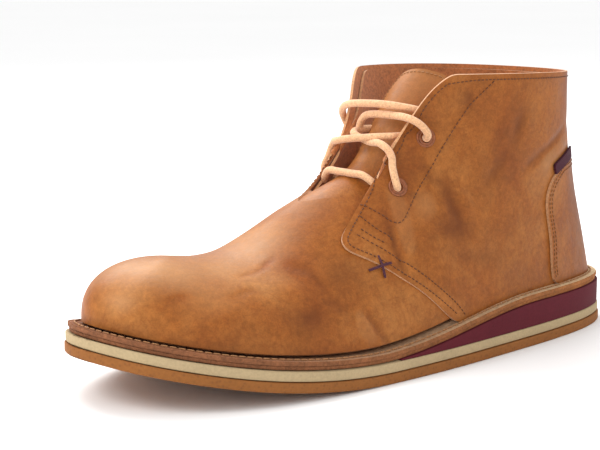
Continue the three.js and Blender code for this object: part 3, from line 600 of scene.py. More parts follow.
def finish_raw(name, shown):
    """Cut or flesh side of leather: matt, with short fibres."""
    material, tree, spot = start_material(name, roughness=0.9, sheen_weight=0.25, sheen_roughness=0.5)
    fibres = noise(tree, spot, FIBRE_SCALES[name], 5, 0.65, 0.4)
    base = ramp(tree, fibres, (0.3, toned(shown, 0.62)), (0.5, shown), (0.7, toned(shown, 1.25)))
    base = overlay(tree, 0.3, base, noise(tree, spot, 60, 4, 0.6), (0.35, 0.38), (0.65, 0.6))
    return finished(material, base_color=base, normal=bump(tree, fibres, 0.0004, 0.5))


def finish_rubber(name, shown, crumb=None):
    """Foam or gum rubber sheet: matt and faintly pitted, with crumbs of another colour in the gum."""
    material, tree, spot = start_material(name, roughness=0.8, specular_ior_level=0.2)
    grain = noise(tree, spot, 900, 4, 0.6)
    base = ramp(tree, grain, (0.25, toned(shown, 0.82)), (0.6, shown))
    base = overlay(tree, 0.3, base, noise(tree, spot, 45, 4, 0.6), (0.35, 0.42), (0.65, 0.57))
    if crumb is not None:
        cells = add_node(tree, "ShaderNodeTexVoronoi", {"Vector": spot, "Scale": 520.0, "Randomness": 1.0})
        mask = ramp(tree, cells.outputs["Distance"], (0.0, grey(0.8)), (0.42, grey(0)))
        base = mix(tree, mask, base, crumb)
    return finished(material, base_color=base, normal=bump(tree, grain, 0.0002, 0.35))


def finish_welt(name, toe, heel):
    """Fibrous welt leather, darkened at the toe and paler towards the heel."""
    material, tree, spot = start_material(name, roughness=0.9, specular_ior_level=0.25)
    along = add_node(tree, "ShaderNodeSeparateXYZ", {"Vector": spot}).outputs["X"]
    place = add_node(tree, "ShaderNodeMapRange", {"Value": along, "From Min": -0.12, "From Max": 0.1})
    middle = tuple((a + b) / 2 for a, b in zip(toe, heel))
    base = ramp(tree, place.outputs["Result"], (0.0, heel), (0.45, middle), (1.0, toe))
    fibres = noise(tree, spot, 650, 5, 0.7, 0.6)
    base = overlay(tree, 0.7, base, fibres, (0.3, 0.25), (0.7, 0.75))
    base = overlay(tree, 0.5, base, noise(tree, spot, 110, 4, 0.6, 0.5), (0.3, 0.32), (0.7, 0.66))
    return finished(material, base_color=base, normal=bump(tree, fibres, 0.0008, 0.8))


def finish_thread(name, shown):
    """Twisted waxed thread."""
    material, tree, spot = start_material(name, roughness=0.7)
    twist = noise(tree, spot, 2600, 2)
    base = ramp(tree, twist, (0.35, toned(shown, 0.6)), (0.65, toned(shown, 1.3)))
    return finished(material, base_color=base, normal=bump(tree, twist, 0.0002, 0.5))


def finish_woven(name, shown):
    """Woven ribbon: fine ribs both ways."""
    material, tree, spot = start_material(name, roughness=0.85, specular_ior_level=0.25)
    ribs = []
    for way, scale in (("X", 420.0), ("Z", 520.0)):
        inputs = {"Vector": spot, "Scale": scale, "Distortion": 0.3}
        ribs.append(add_node(tree, "ShaderNodeTexWave", inputs, bands_direction=way).outputs["Fac"])
    weave = add_node(tree, "ShaderNodeMath", {0: ribs[0], 1: ribs[1]}, operation="MULTIPLY").outputs[0]
    base = ramp(tree, weave, (0.1, toned(shown, 0.6)), (0.7, toned(shown, 1.25)))
    return finished(material, base_color=base, normal=bump(tree, weave, 0.0002, 0.6))


def finish_painted(name, shown):
    """Painted brass, its tone and gloss a little uneven."""
    material, tree, spot = start_material(name, metallic=0.35)
    wear = noise(tree, spot, 700, 4, 0.6)
    base = ramp(tree, wear, (0.35, toned(shown, 0.75)), (0.7, toned(shown, 1.3)))
    rough = ramp(tree, wear, (0.3, grey(0.35)), (0.7, grey(0.55)))
    return finished(material, base_color=base, roughness=rough, normal=bump(tree, wear, 0.0001, 0.4))


# How far the leather goes to its scuff and painted shade colour, and to its painted highlight colour, where
# its shade is -1 and 1
TONE_REACH = 0.75
FIBRE_SCALES = {"cut_edge": 900.0, "flesh_side": 700.0, "lace_leather": 1100.0}
# How each material is made, and the colours that it takes
FINISHES = {
    # Tan cowhide of the upper: its waxed grain side, its cut edges, and its flesh side inside the boot
    "waxed_leather": (finish_leather,),
    "cut_edge": (finish_raw, "raw_edge"),
    "flesh_side": (finish_raw, "flesh"),
    # Undyed leather lace
    "lace_leather": (finish_raw, "lace"),
    # Vegetable tanned welt: its cut edge, and its stitched top
    "welt_edge": (finish_welt, "welt_toe", "welt"),
    "welt_top": (finish_welt, "welt_toe", "welt_top"),
    # Sole from the floor up: gum rubber with cork crumb, cream rubber, burgundy foam rubber
    "gum_rubber": (finish_rubber, "gum", "crumb"),
    "cream_rubber": (finish_rubber, "cream"),
    "burgundy_rubber": (finish_rubber, "burgundy"),
    # Waxed threads
    "seam_thread": (finish_thread, "thread"),
    "welt_thread": (finish_thread, "welt_thread"),
    "counter_thread": (finish_thread, "counter_thread"),
    "cross_thread": (finish_thread, "cross"),
    # Woven ribbon, and brass eyelets painted brown
    "woven_tab": (finish_woven, "tab"),
    "painted_eyelet": (finish_painted, "eyelet"),
}


def give(piece, *names):
    """Gives a piece its materials, each made once."""
    piece.data.materials.clear()
    for name in names:
        material = bpy.data.materials.get(name)
        if not material:
            finish, *keys = FINISHES[name]
            material = finish(name, *(tuple(getattr(colours(), key)) for key in keys))
        piece.data.materials.append(material)


# Modelling helpers
def clear_selection():
    if bpy.context.object and bpy.context.object.mode != "OBJECT":
        bpy.ops.object.mode_set(mode="OBJECT")
    bpy.ops.object.select_all(action="DESELECT")


def apply_modifier(piece, kind, **settings):
    """Adds a modifier, sets it and applies it, as from the modifier stack."""
    bpy.context.view_layer.objects.active = piece
    new = piece.modifiers.new(kind.title(), kind)
    for name, value in settings.items():
        setattr(new, name, value)
    bpy.ops.object.modifier_apply(modifier=new.name)


def edit_mesh(*actions):
    """Goes through mesh operators in edit mode, each with the whole mesh selected."""
    bpy.ops.object.mode_set(mode="EDIT")
    for action in actions:
        bpy.ops.mesh.select_all(action="SELECT")
        action()
    bpy.ops.object.mode_set(mode="OBJECT")


def mesh_points(piece, key="co"):
    """The places of a mesh's vertices as rows, or their normals."""
    flat = np.empty(len(piece.data.vertices) * 3)
    piece.data.vertices.foreach_get(key, flat)
    return flat.reshape(-1, 3)


def set_points(piece, points):
    piece.data.vertices.foreach_set("co", np.ascontiguousarray(points, float).ravel())
    piece.data.update()


def add_grid(name, cage):
    """A grid primitive shaped to a cage of rows of points."""
    clear_selection()
    rows, columns = cage.shape[:2]
    bpy.ops.mesh.primitive_grid_add(x_subdivisions=columns - 1, y_subdivisions=rows - 1, size=0.1)
    piece = bpy.context.object
    piece.name = name
    piece.data.name = name
    set_points(piece, cage.reshape(-1, 3))
    return piece


def face_out(piece, inside):
    """Turns the faces to point away from a place inside."""
    centre = Vector(inside)
    votes = sum(1 if (p.center - centre).dot(p.normal) > 0 else -1 for p in list(piece.data.polygons)[::7])
    if votes < 0:
        edit_mesh(lambda: bpy.ops.mesh.flip_normals())


def store_scuffs_and_painted_light(piece, lift, painted_light_above):
    """Stores the leather's scuffs, painted shade and painted highlights; it may also grow paler with painted
    light from one height to another.
    """
    points = mesh_points(piece)
    values = shade(points, lift)
    if painted_light_above:
        values = values + PAINTED_LIGHT_STEP * step(points[:, 2], *painted_light_above)
    layer = piece.data.attributes.new("shade", "FLOAT", "POINT")
    layer.data.foreach_set("value", values)


HIDE = ("waxed_leather", "cut_edge", "flesh_side")


def leather_sheet(name, cage, thick, materials=HIDE, lift=0.0, inside=(0, 0, 0.05), weld=False, ease=None,
                  creased=True, painted_light_above=None):
    """A sheet of leather: a coarse cage, subdivided, creased along the listed creases and given its thickness
    and edges.
    """
    piece = add_grid(name, cage)
    face_out(piece, inside)
    if weld:
        edit_mesh(lambda: bpy.ops.mesh.remove_doubles(threshold=0.00004))
    apply_modifier(piece, "SUBSURF", levels=sizes().levels)
    if ease:
        ease(piece)
    if creased:
        points = mesh_points(piece)
        set_points(piece, points + mesh_points(piece, "normal") * relief(points, lift)[:, None])
    give(piece, *materials)
    store_scuffs_and_painted_light(piece, lift, painted_light_above)
    surface = BVHTree.FromPolygons(
        [v.co.copy() for v in piece.data.vertices], [tuple(p.vertices) for p in piece.data.polygons])
    apply_modifier(piece, "SOLIDIFY", thickness=thick, offset=-1, use_even_offset=False, use_rim=True,
                   material_offset=2, material_offset_rim=1)
    bpy.ops.object.shade_smooth_by_angle(angle=math.radians(50))
    return piece, surface


def settle(piece, slot, *nodes):
    """Puts a piece on its body and hides the CAD nodes that it stands for; its slot is not used."""
    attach(piece, "root")
    if nodes:
        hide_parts(*nodes)
    return piece


SURFACES = {}


def lay(points, names):
    """Drops points on the nearest of the named sheets, and gives their places and normals."""
    places, normals = [], []
    for point in np.atleast_2d(points):
        found = [SURFACES[name].find_nearest(Vector(point)) for name in names]
        place, normal, _, _ = min(found, key=lambda hit: hit[3])
        places.append(place)
        normals.append(normal)
    return np.array(places), np.array(normals)


def on_skin(pairs):
    """Points of the skin at pairs of around and up."""
    around, up = np.array(pairs, float).T
    return skin(around, up)


def spaced(points, pitch):
    """Points at an even pitch along a polyline."""
    points = np.asarray(points, float)
    runs = np.linalg.norm(np.diff(points, axis=0), axis=1)
    total = np.concatenate([[0], np.cumsum(runs)])
    count = max(int(round(total[-1] / pitch)), 1)
    marks = np.linspace(0, total[-1], count + 1)
    return np.stack([np.interp(marks, total, points[:, k]) for k in range(3)], 1)


def rounded(points, rounds=3):
    """Cuts the corners of a polyline, to a smooth line that keeps its ends."""
    points = np.asarray(points, float)
    for _ in range(rounds):
        near = points[:-1] * 0.75 + points[1:] * 0.25
        far = points[:-1] * 0.25 + points[1:] * 0.75
        inner = np.stack([near, far], 1).reshape(-1, 3)
        points = np.concatenate([points[:1], inner, points[-1:]])
    return points


def shifted(points, normals, distance):
    """A line beside another on a surface, to its left seen from outside."""
    run = unit(np.gradient(points, axis=0))
    return points + unit(np.cross(normals, run)) * distance


def stitch_shape():
    """One stitch, along X, as a thread that dips into the leather at both ends."""
    clear_selection()
    bpy.ops.mesh.primitive_cylinder_add(vertices=6, radius=0.5, depth=1, rotation=(0, math.pi / 2, 0))
    bpy.ops.object.transform_apply(rotation=True)
    piece = bpy.context.object
    edit_mesh(lambda: bpy.ops.mesh.bevel(offset=0.22, segments=2, affect="EDGES"))
    return piece


def stitches(name, rows, finish, thick=None, long=None, lift=0.35, fill=0.8):
    """Rows of stitches as one mesh: each row is places and normals, one stitch from place to place."""
    shape = stitch_shape()
    base = mesh_points(shape)
    faces = [tuple(p.vertices) for p in shape.data.polygons]
    bpy.data.objects.remove(shape)
    thick = thick or sizes().stitch_thick
    long = long or sizes().stitch_length
    points, polygons = [], []
    for places, normals in rows:
        for a, b, n in zip(places[:-1], places[1:], (normals[:-1] + normals[1:]) / 2):
            run = b - a
            pitch = np.linalg.norm(run)
            if pitch < 1e-6:
                continue
            along = run / pitch
            side = unit(np.cross(n, along))
            out = np.cross(along, side)
            size = min(long, pitch * fill)
            turned = np.outer(base[:, 0] * size, along) + np.outer(base[:, 1] * thick, side)
            turned += np.outer(base[:, 2] * thick, out) + (a + b) / 2 + out * thick * lift
            start = len(points) * len(base)
            points.append(turned)
            polygons += [tuple(i + start for i in face) for face in faces]
    mesh = bpy.data.meshes.new(name)
    mesh.from_pydata(np.concatenate(points).tolist(), [], polygons)
    piece = bpy.data.objects.new(name, mesh)
    bpy.context.collection.objects.link(piece)
    mesh.shade_smooth()
    give(piece, finish)
    return piece


def seam_row(pairs, names, offset=0.0, pitch=None):
    """A row of stitches along places on the skin, laid on the sheets, and set beside them by an offset."""
    line = spaced(rounded(on_skin(pairs)), LINE_STEP)
    places, normals = lay(line, names)
    if offset:
        places, normals = lay(shifted(places, normals, offset), names)
    return lay(spaced(places, pitch or sizes().stitch_pitch), names)


def lace_curve(name, points):
    """A round lace along points in metres, as a smooth curve."""
    clear_selection()
    bpy.ops.curve.primitive_bezier_curve_add()
    piece = bpy.context.object
    piece.name = name
    piece.data.name = name
    spline = piece.data.splines[0]
    spline.bezier_points.add(len(points) - len(spline.bezier_points))
    for knot, point in zip(spline.bezier_points, points):
        knot.co = Vector(point)
        knot.handle_left_type = "AUTO"
        knot.handle_right_type = "AUTO"
        knot.radius = 1
        knot.tilt = 0
    piece.data.dimensions = "3D"
    piece.data.resolution_u = 8
    piece.data.bevel_depth = sizes().lace / 2
    piece.data.bevel_resolution = 4
    piece.data.use_fill_caps = True
    give(piece, "lace_leather")
    return piece


def sole_layer(name, low, high, inset, rounding, first=0.0, materials=("gum_rubber",)):
    """A layer of the sole: a grid in plan between two heights, with rounded edges."""
    stations = 1 - (1 - np.linspace(0, 1, 121)) * (1 - first)
    stations[0] = first
    outer, _ = plan(stations, inset)
    inner, _ = plan(2 - stations, inset)
    shares = np.linspace(0, 1, 9)[None, :, None]
    flat = inner[:, None, :] * (1 - shares) + outer[:, None, :] * shares
    cage = np.concatenate([flat, low(flat[..., 0])[..., None]], -1)
    piece = add_grid(name, cage)
    edit_mesh(lambda: bpy.ops.mesh.extrude_region_move(TRANSFORM_OT_translate={"value": (0, 0, 4 * MM)}))
    points = mesh_points(piece)
    bottom = low(points[:, 0])
    raised = points[:, 2] > bottom + 2 * MM
    points[:, 2] = np.where(raised, high(points[:, 0]), bottom)
    set_points(piece, points)
    edit_mesh(lambda: bpy.ops.mesh.remove_doubles(threshold=0.00002),
              lambda: bpy.ops.mesh.normals_make_consistent(inside=False))
    apply_modifier(piece, "BEVEL", width=rounding, segments=3, limit_method="ANGLE",
                   angle_limit=math.radians(50), use_clamp_overlap=False)
    bpy.ops.object.shade_smooth_by_angle(angle=math.radians(45))
    give(piece, *materials)
    return piece


# Camera fitted to the photo: place, turns in degrees, lens and sensor
CAMERA_PLACE = (0.51, 0.5853, 0.1917)
CAMERA_YAW, CAMERA_PITCH, CAMERA_ROLL = -129.11, -9.72, 0.16
CAMERA_LENS, CAMERA_SENSOR = 103.98, 36


# Operators, one for each piece or group of like pieces
class BOOT_OT_camera(bpy.types.Operator):
    """Adds the camera at the photograph's viewing angle"""

    bl_idname = "boot.camera"
    bl_label = "Camera"
    bl_options = {"REGISTER", "UNDO"}

    def execute(self, context):
        clear_selection()
        yaw, pitch = math.radians(CAMERA_YAW), math.radians(CAMERA_PITCH)
        ahead = Vector((math.cos(pitch) * math.cos(yaw), math.cos(pitch) * math.sin(yaw), math.sin(pitch)))
        roll = Matrix.Rotation(math.radians(CAMERA_ROLL), 3, "Z").to_quaternion()
        turn = ahead.to_track_quat("-Z", "Y") @ roll
        bpy.ops.object.camera_add(location=CAMERA_PLACE, rotation=turn.to_euler())
        camera = bpy.context.object
        camera.name = "camera"
        camera.data.lens = CAMERA_LENS
        camera.data.sensor_width = CAMERA_SENSOR
        bpy.context.scene.camera = camera
        return {"FINISHED"}


class BOOT_OT_lace_ends(bpy.types.Operator):
    """Lays the two free ends of the lace from the upper eyelets over the throat"""

    bl_idname = "boot.lace_ends"
    bl_label = "Lace ends"
    bl_options = {"REGISTER", "UNDO"}

    def execute(self, context):
        for node, route in (("lace_end_outer", OUTER_END), ("lace_end_inner", INNER_END)):
            points = np.array(route) * MM
            piece = lace_curve(node + "_lace", points)
            settle(piece, "lace", node)
        return {"FINISHED"}


class BOOT_OT_vamp(bpy.types.Operator):
    """Models the vamp, from the welt over the toe and the instep"""

    bl_idname = "boot.vamp"
    bl_label = "Vamp"
    bl_options = {"REGISTER", "UNDO"}

    def execute(self, context):
        rows = np.linspace(0, 1, 11)
        shares = np.linspace(-1, 1, 47)
        edge = smooth(VAMP_EDGE, "around", rows)
        cage = skin(edge[:, None] * shares[None, :], rows[:, None])

        def ease(piece):
            """Smooths the fold of the ridge round the toe box."""
            points = mesh_points(piece)
            crown = skin(0, 1)
            near = np.linalg.norm(points - crown, axis=1) < CROWN_EASE
            piece.data.vertices.foreach_set("select", near)
            bpy.ops.object.mode_set(mode="EDIT")
            bpy.ops.mesh.select_mode(type="VERT")
            bpy.ops.mesh.vertices_smooth(factor=0.5, repeat=40)
            bpy.ops.object.mode_set(mode="OBJECT")

        piece, SURFACES["vamp"] = leather_sheet("vamp", cage, LEATHER, weld=True, ease=ease)
        settle(piece, "leather", "upper")
        return {"FINISHED"}


class BOOT_OT_quarters(bpy.types.Operator):
    """Models the quarters, which wrap the heel and lap over the vamp, and their lining"""

    bl_idname = "boot.quarters"
    bl_label = "Quarters and lining"
    bl_options = {"REGISTER", "UNDO"}

    def execute(self, context):
        cage = self.cage(0, 1, OVERLAY)
        piece, SURFACES["quarters"] = leather_sheet("quarters", cage, OVERLAY, lift=OVERLAY)
        settle(piece, "leather", "upper")
        cage = self.cage(0.02, 0.985, LINING_LIFT)
        names = ("flesh_side", "cut_edge", "flesh_side")
        lining, _ = leather_sheet("quarter_lining", cage, sizes().lining, names, lift=LINING_LIFT)
        settle(lining, "leather", "upper")
        return {"FINISHED"}

    def cage(self, set_back, top, lift):
        """Rows of points from one front edge round the heel to the other, at a lift over the skin."""
        near = np.array([0, 0.03, 0.09, 0.16, 0.24, 0.32, 0.4, 0.48, 0.56, 0.64, 0.72, 0.81, 0.9, 1])
        rows = QUARTER_EDGE["at"] * top
        start = smooth(QUARTER_EDGE, "around", rows) + set_back
        front, rear = smooth(QUARTER_EDGE, "up", rows), smooth(QUARTER_EDGE, "rear", rows)
        around = start[:, None] + (1 - start[:, None]) * near[None, :]
        up = levelling(front[:, None], rear[:, None], near[None, :])
        forward = INNER_FORWARD * step(rows, 0.7, 0.85)[:, None] * (1 - near[None, :]) ** 3
        around, up = both_sides(around, up, forward)
        cage = lifted(around, np.clip(up, 0, 1), lift)
        throat = step(rows, 0.5, 0.62)[1:-1, None, None]
        for _ in range(3):
            eased = cage[:-2] * 0.25 + cage[1:-1] * 0.5 + cage[2:] * 0.25
            cage[1:-1] += (eased - cage[1:-1]) * throat
        return cage


class BOOT_OT_counter(bpy.types.Operator):
    """Models the heel counter over the quarters"""

    bl_idname = "boot.counter"
    bl_label = "Counter"
    bl_options = {"REGISTER", "UNDO"}

    def execute(self, context):
        near = np.linspace(0, 1, 10)[None, :]
        start, front = COUNTER_EDGE["around"][:, None], COUNTER_EDGE["up"][:, None]
        rear = front * COUNTER_BACK / front[-1]
        around, up = both_sides(start + (1 - start) * near, levelling(front, rear, near))
        shape = around.shape + (3,)
        places, normals = lay(skin(around, up).reshape(-1, 3), ("quarters",))
        # Out from the quarters, most at the foot of the heel and nothing under the tab
        full = COUNTER_BULGE * (1 - step(up, -0.1, 0.52)) * step(np.minimum(around, 2 - around), 0.79, 0.95)
        cage = (places + normals * (sizes().counter + 0.1 * MM + full.reshape(-1, 1))).reshape(shape)
        piece, SURFACES["counter"] = leather_sheet("heel_counter", cage, sizes().counter, creased=False)
        settle(piece, "leather", "counter")
        return {"FINISHED"}


class BOOT_OT_tongue(bpy.types.Operator):
    """Models the tongue, which grows out of the vamp"""

    bl_idname = "boot.tongue"
    bl_label = "Tongue"
    bl_options = {"REGISTER", "UNDO"}

    def execute(self, context):
        along = np.linspace(0, 1, 13)[:, None]
        across = np.linspace(-1, 1, 9)[None, :]
        free = on_tongue(along, across, 0)
        # The root lies on the vamp's skin and sinks into it at its edges, up to where the tongue comes free
        at = np.minimum(0.44 + 0.3 * along, 0.55)
        up = 1 - 0.26 * np.abs(across)
        sunk = 0.1 * MM - 0.9 * MM * (1 - step(along, 0, 0.14)) - 0.5 * MM * np.abs(across) ** 6
        rooted = lifted(np.where(across < 0, -at, at), up, sunk)
        share = step(along, 0.06, 0.36)[..., None]
        cage = rooted * (1 - share) + free * share
        # The tongue's upper part grows paler with painted light
        piece, SURFACES["tongue"] = leather_sheet("tongue_sheet", cage, sizes().tongue, creased=False,
                                                  inside=(-0.05, 0, 0.06), painted_light_above=TONGUE_PAINTED_LIGHT)
        settle(piece, "leather", "tongue")
        return {"FINISHED"}


class BOOT_OT_insole(bpy.types.Operator):
    """Models the insole, seen through the collar"""

    bl_idname = "boot.insole"
    bl_label = "Insole"
    bl_options = {"REGISTER", "UNDO"}

    def execute(self, context):
        piece = sole_layer("insole_sheet", footing, lambda x: footing(x) + INSOLE, INSOLE_INSET,
                           rounding=0.5 * MM, materials=("flesh_side",))
        settle(piece, "insole", "insole")
        return {"FINISHED"}


class BOOT_OT_side_tab(bpy.types.Operator):
    """Models the bare woven tab above the counter"""

    bl_idname = "boot.side_tab"
    bl_label = "Side tab"
    bl_options = {"REGISTER", "UNDO"}

    def execute(self, context):
        around = np.linspace(*TAB_AROUND, 13)
        edge = levelling(0.54, COUNTER_BACK, (around - 0.815) / 0.185)
        up = edge[None, :] + np.linspace(*TAB_UP, 5)[:, None]
        places, normals = lay(skin(around[None, :], up).reshape(-1, 3), ("quarters",))
        cage = (places + normals * TAB_LIFT).reshape(up.shape + (3,))
        piece, _ = leather_sheet("side_tab_ribbon", cage, TAB_THICK, ("woven_tab",) * 3, creased=False)
        settle(piece, "tab", "side_tab")
        return {"FINISHED"}


class BOOT_OT_eyelets(bpy.types.Operator):
    """Turns the four eyelets and sets them in the quarters"""

    bl_idname = "boot.eyelets"
    bl_label = "Eyelets"
    bl_options = {"REGISTER", "UNDO"}

    # Radius and height of the ring's section, in millimetres
    SECTION = ((2.1, -2.6), (2.1, 0.15), (2.45, 0.55), (2.9, 0.5), (3.1, 0.2), (3.35, 0.2), (3.6, 0.5),
               (4.1, 0.5), (4.45, 0.15), (4.4, -0.1), (2.75, -0.1), (2.75, -2.6), (2.1, -2.6))

    def execute(self, context):
        for level, (around, up) in EYELETS.items():
            for side, way in (("outer", around), ("inner", -around)):
                places, normals = lay(skin(way, up), ("quarters",))
                self.turn(f"eyelet_{side}_{level}", Vector(places[0]), Vector(normals[0]))
        return {"FINISHED"}

    def turn(self, node, place, normal):
        """Spins the section into a ring, and sets it on a place of the quarters."""
        clear_selection()
        mesh = bpy.data.meshes.new(node + "_ring")
        points = [(r * MM, 0, z * MM) for r, z in self.SECTION]
        mesh.from_pydata(points, [(i, i + 1) for i in range(len(points) - 1)], [])
        piece = bpy.data.objects.new(node + "_ring", mesh)
        bpy.context.collection.objects.link(piece)
        piece.select_set(True)
        bpy.context.view_layer.objects.active = piece
        edit_mesh(lambda: bpy.ops.mesh.spin(steps=40, angle=2 * math.pi, center=(0, 0, 0), axis=(0, 0, 1)),
                  lambda: bpy.ops.mesh.remove_doubles(threshold=0.00001),
                  lambda: bpy.ops.mesh.normals_make_consistent(inside=False))
        turn = normal.to_track_quat("Z", "Y").to_matrix().to_4x4()
        mesh.transform(Matrix.Translation(place) @ turn)
        mesh.shade_smooth()
        give(piece, "painted_eyelet")
        settle(piece, "eyelet", node)


class BOOT_OT_lacing(bpy.types.Operator):
    """Runs the lace over the tongue and through the eyelets"""

    bl_idname = "boot.lacing"
    bl_label = "Lacing"
    bl_options = {"REGISTER", "UNDO"}

    def execute(self, context):
        lace = sizes().lace
        reach = np.array([-1.7, -1.35, -1, -0.5, 0, 0.5, 1, 1.35, 1.7])
        lift = lace / 2 + 0.6 * MM + 0.19 * TONGUE_HALF * np.minimum(reach ** 2, 1.15)
        bar = lace_curve("lace_bar_strand", on_tongue(0.28, 0.65 * reach, lift))
        settle(bar, "lace", "lace_bar")
        for side, level, end in ((1, "under", INNER_END), (-1, "over", OUTER_END)):
            strand = self.strand(side, level, np.array(end[0]) * MM, lace)
            piece = lace_curve("lace_crossing_" + level, strand)
            settle(piece, "lace", "lace_crossing")
        return {"FINISHED"}

    def strand(self, side, level, end, lace):
        """Points of one crossing, out of a low eyelet, over the tongue and into the other side's high one."""
        around, up = EYELETS["low"]
        above = OVERLAY + 2 * GAP + 0.8 * MM
        # Out of the eyelet and up the flap: steps along the skin, and lift in lace diameters
        climb = ((0, 0, -3.2), (0, 0, -1.6), (0, 0, 0.12), (0.001, 0.02, 0.47), (0.004, 0.06, 0.33),
                 (0.008, 0.1, 0.24))
        points = []
        for add_around, add_up, lift in climb:
            points.append(lifted(side * (around + add_around), up + add_up, above + lift * lace))
        # Lift over the tongue, also in lace diameters: one strand passes over the other in the middle
        lifts = {"under": (3.97, 1.35, 2.35), "over": (3.97, 2.18, 2.35)}[level]
        for (along, across), lift in zip(((0.49, 0.78), (0.53, 0), (0.58, -0.62)), lifts):
            points.append(on_tongue(along, side * across, lift * lace))
        around, up = EYELETS["high"]
        # Up through the high eyelet from inside, in millimetres
        for lift in (-9, -5, -2.2):
            points.append(lifted(-side * around, up, lift * MM))
        points.append(end)
        return points


class BOOT_OT_outsole(bpy.types.Operator):
    """Models the gum outsole with its toe spring"""

    bl_idname = "boot.outsole"
    bl_label = "Outsole"
    bl_options = {"REGISTER", "UNDO"}

    def execute(self, context):
        piece = sole_layer("outsole_sheet", ground, lambda x: ground(x) + OUTSOLE, 0.0, sizes().edge_round)
        settle(piece, "outsole", "outsole")
        return {"FINISHED"}


class BOOT_OT_midsole(bpy.types.Operator):
    """Models the cream midsole"""

    bl_idname = "boot.midsole"
    bl_label = "Midsole"
    bl_options = {"REGISTER", "UNDO"}

    def execute(self, context):
        piece = sole_layer("midsole_sheet", midsole_low, lambda x: midsole_low(x) + MIDSOLE, 0.5 * MM,
                           rounding=sizes().edge_round, materials=("cream_rubber",))
        settle(piece, "midsole", "midsole")
        return {"FINISHED"}


class BOOT_OT_wedge(bpy.types.Operator):
    """Models the burgundy wedge, which thins out under the arch"""

    bl_idname = "boot.wedge"
    bl_label = "Wedge"
    bl_options = {"REGISTER", "UNDO"}

    def execute(self, context):
        ways = np.linspace(0, 1, 401)
        rise = wedge_rise(plan(ways)[0][:, 0])
        first = float(ways[np.argmax(rise > 0.45 * MM)])
        piece = sole_layer("wedge_sheet", lambda x: midsole_low(x) + MIDSOLE + 0.1 * MM,
                           lambda x: welt_low(x) - 0.1 * MM, 0.9 * MM, rounding=0.15 * MM, first=first,
                           materials=("burgundy_rubber",))
        settle(piece, "wedge", "wedge")
        return {"FINISHED"}


class BOOT_OT_welt(bpy.types.Operator):
    """Models the welt's two leather layers"""

    bl_idname = "boot.welt"
    bl_label = "Welt"
    bl_options = {"REGISTER", "UNDO"}

    def execute(self, context):
        split = WELT * (1 - sizes().welt_share)

        def middle(x):
            return welt_low(x) + split

        lower = sole_layer("welt_lower", welt_low, middle, 2.1 * MM, 0.35 * MM, materials=("welt_edge",))
        settle(lower, "welt", "welt")
        upper = sole_layer("welt_upper", middle, lambda x: welt_low(x) + WELT, 1.5 * MM, 0.5 * MM,
                           materials=("welt_edge", "welt_top"))
        for face in upper.data.polygons:
            face.material_index = int(face.normal.z > 0.9)
        settle(upper, "welt", "welt")
        return {"FINISHED"}


class BOOT_OT_stitching(bpy.types.Operator):
    """Sews the upper: edge rows, eyestay rows, corner patches, collar, counter and tongue"""

    bl_idname = "boot.stitching"
    bl_label = "Stitching"
    bl_options = {"REGISTER", "UNDO"}

    EYESTAY = ((0.741, 0.973), (0.714, 0.883), (0.694, 0.793), (0.678, 0.722), (0.656, 0.638), (0.632, 0.557),
               (0.594, 0.518), (0.578, 0.503), (0.568, 0.5), (0.56, 0.58), (0.55, 0.68), (0.546, 0.70))
    PATCHES = (((0.538, 0.65), (0.545, 0.56), (0.556, 0.47)), ((0.53, 0.59), (0.537, 0.53), (0.546, 0.48)),
               ((0.522, 0.57), (0.532, 0.505), (0.541, 0.457)))
    SECOND = ((0.541, 0.457), (0.548, 0.413), (0.564, 0.32), (0.586, 0.177), (0.611, 0.053), (0.618, 0.015))

    def execute(self, context):
        quarters = ("quarters",)
        edge = list(zip(QUARTER_EDGE["around"], QUARTER_EDGE["up"]))
        edge[0] = (edge[0][0], 0.02)
        collar = [(a, 1.0) for a in np.linspace(0.72, 1.28, 23)]
        whole = edge[:-1] + collar + [(2 - a, u) for a, u in edge[-2::-1]]
        rows = [seam_row(whole, quarters, -sizes().edge_row)]
        for side in (1, -1):
            def turned(pairs):
                return [(side * a, u) for a, u in pairs]

            rows.append(seam_row(turned(self.EYESTAY), quarters))
            rows += [seam_row(turned(pairs), quarters, pitch=0.0022) for pairs in self.PATCHES]
            rows.append(seam_row(turned(self.SECOND), quarters))
        back = [(0.985, u) for u in np.linspace(0.67, 0.97, 9)]
        rows.append(seam_row(back, quarters))
        settle(stitches("quarter_stitches", rows, "seam_thread"), "leather")

        rows = []
        edge = list(zip(COUNTER_EDGE["around"], COUNTER_EDGE["up"]))
        start, low = edge[-1]
        top = [(a, levelling(low, COUNTER_BACK, (a - start) / (1 - start))) for a in np.linspace(0.86, 1, 9)]
        for side in (1, -1):
            pairs = [(side * a, u) for a, u in edge + top]
            for offset in (1.6 * MM, 3.6 * MM):
                rows.append(seam_row(pairs, ("counter",), -side * offset))
        settle(stitches("counter_stitches", rows, "counter_thread"), "leather")

        along = np.linspace(0.55, 0.985, 12)
        rim = [(a, -0.87) for a in along] + [(0.985, x) for x in np.linspace(-0.7, 0.7, 8)]
        rim += [(a, 0.87) for a in along[::-1]]
        points = on_tongue(np.array([a for a, _ in rim]), np.array([x for _, x in rim]), 0)
        line = lay(spaced(rounded(points, 2), sizes().stitch_pitch), ("tongue",))
        settle(stitches("tongue_stitches", [line], "welt_thread"), "leather")
        return {"FINISHED"}


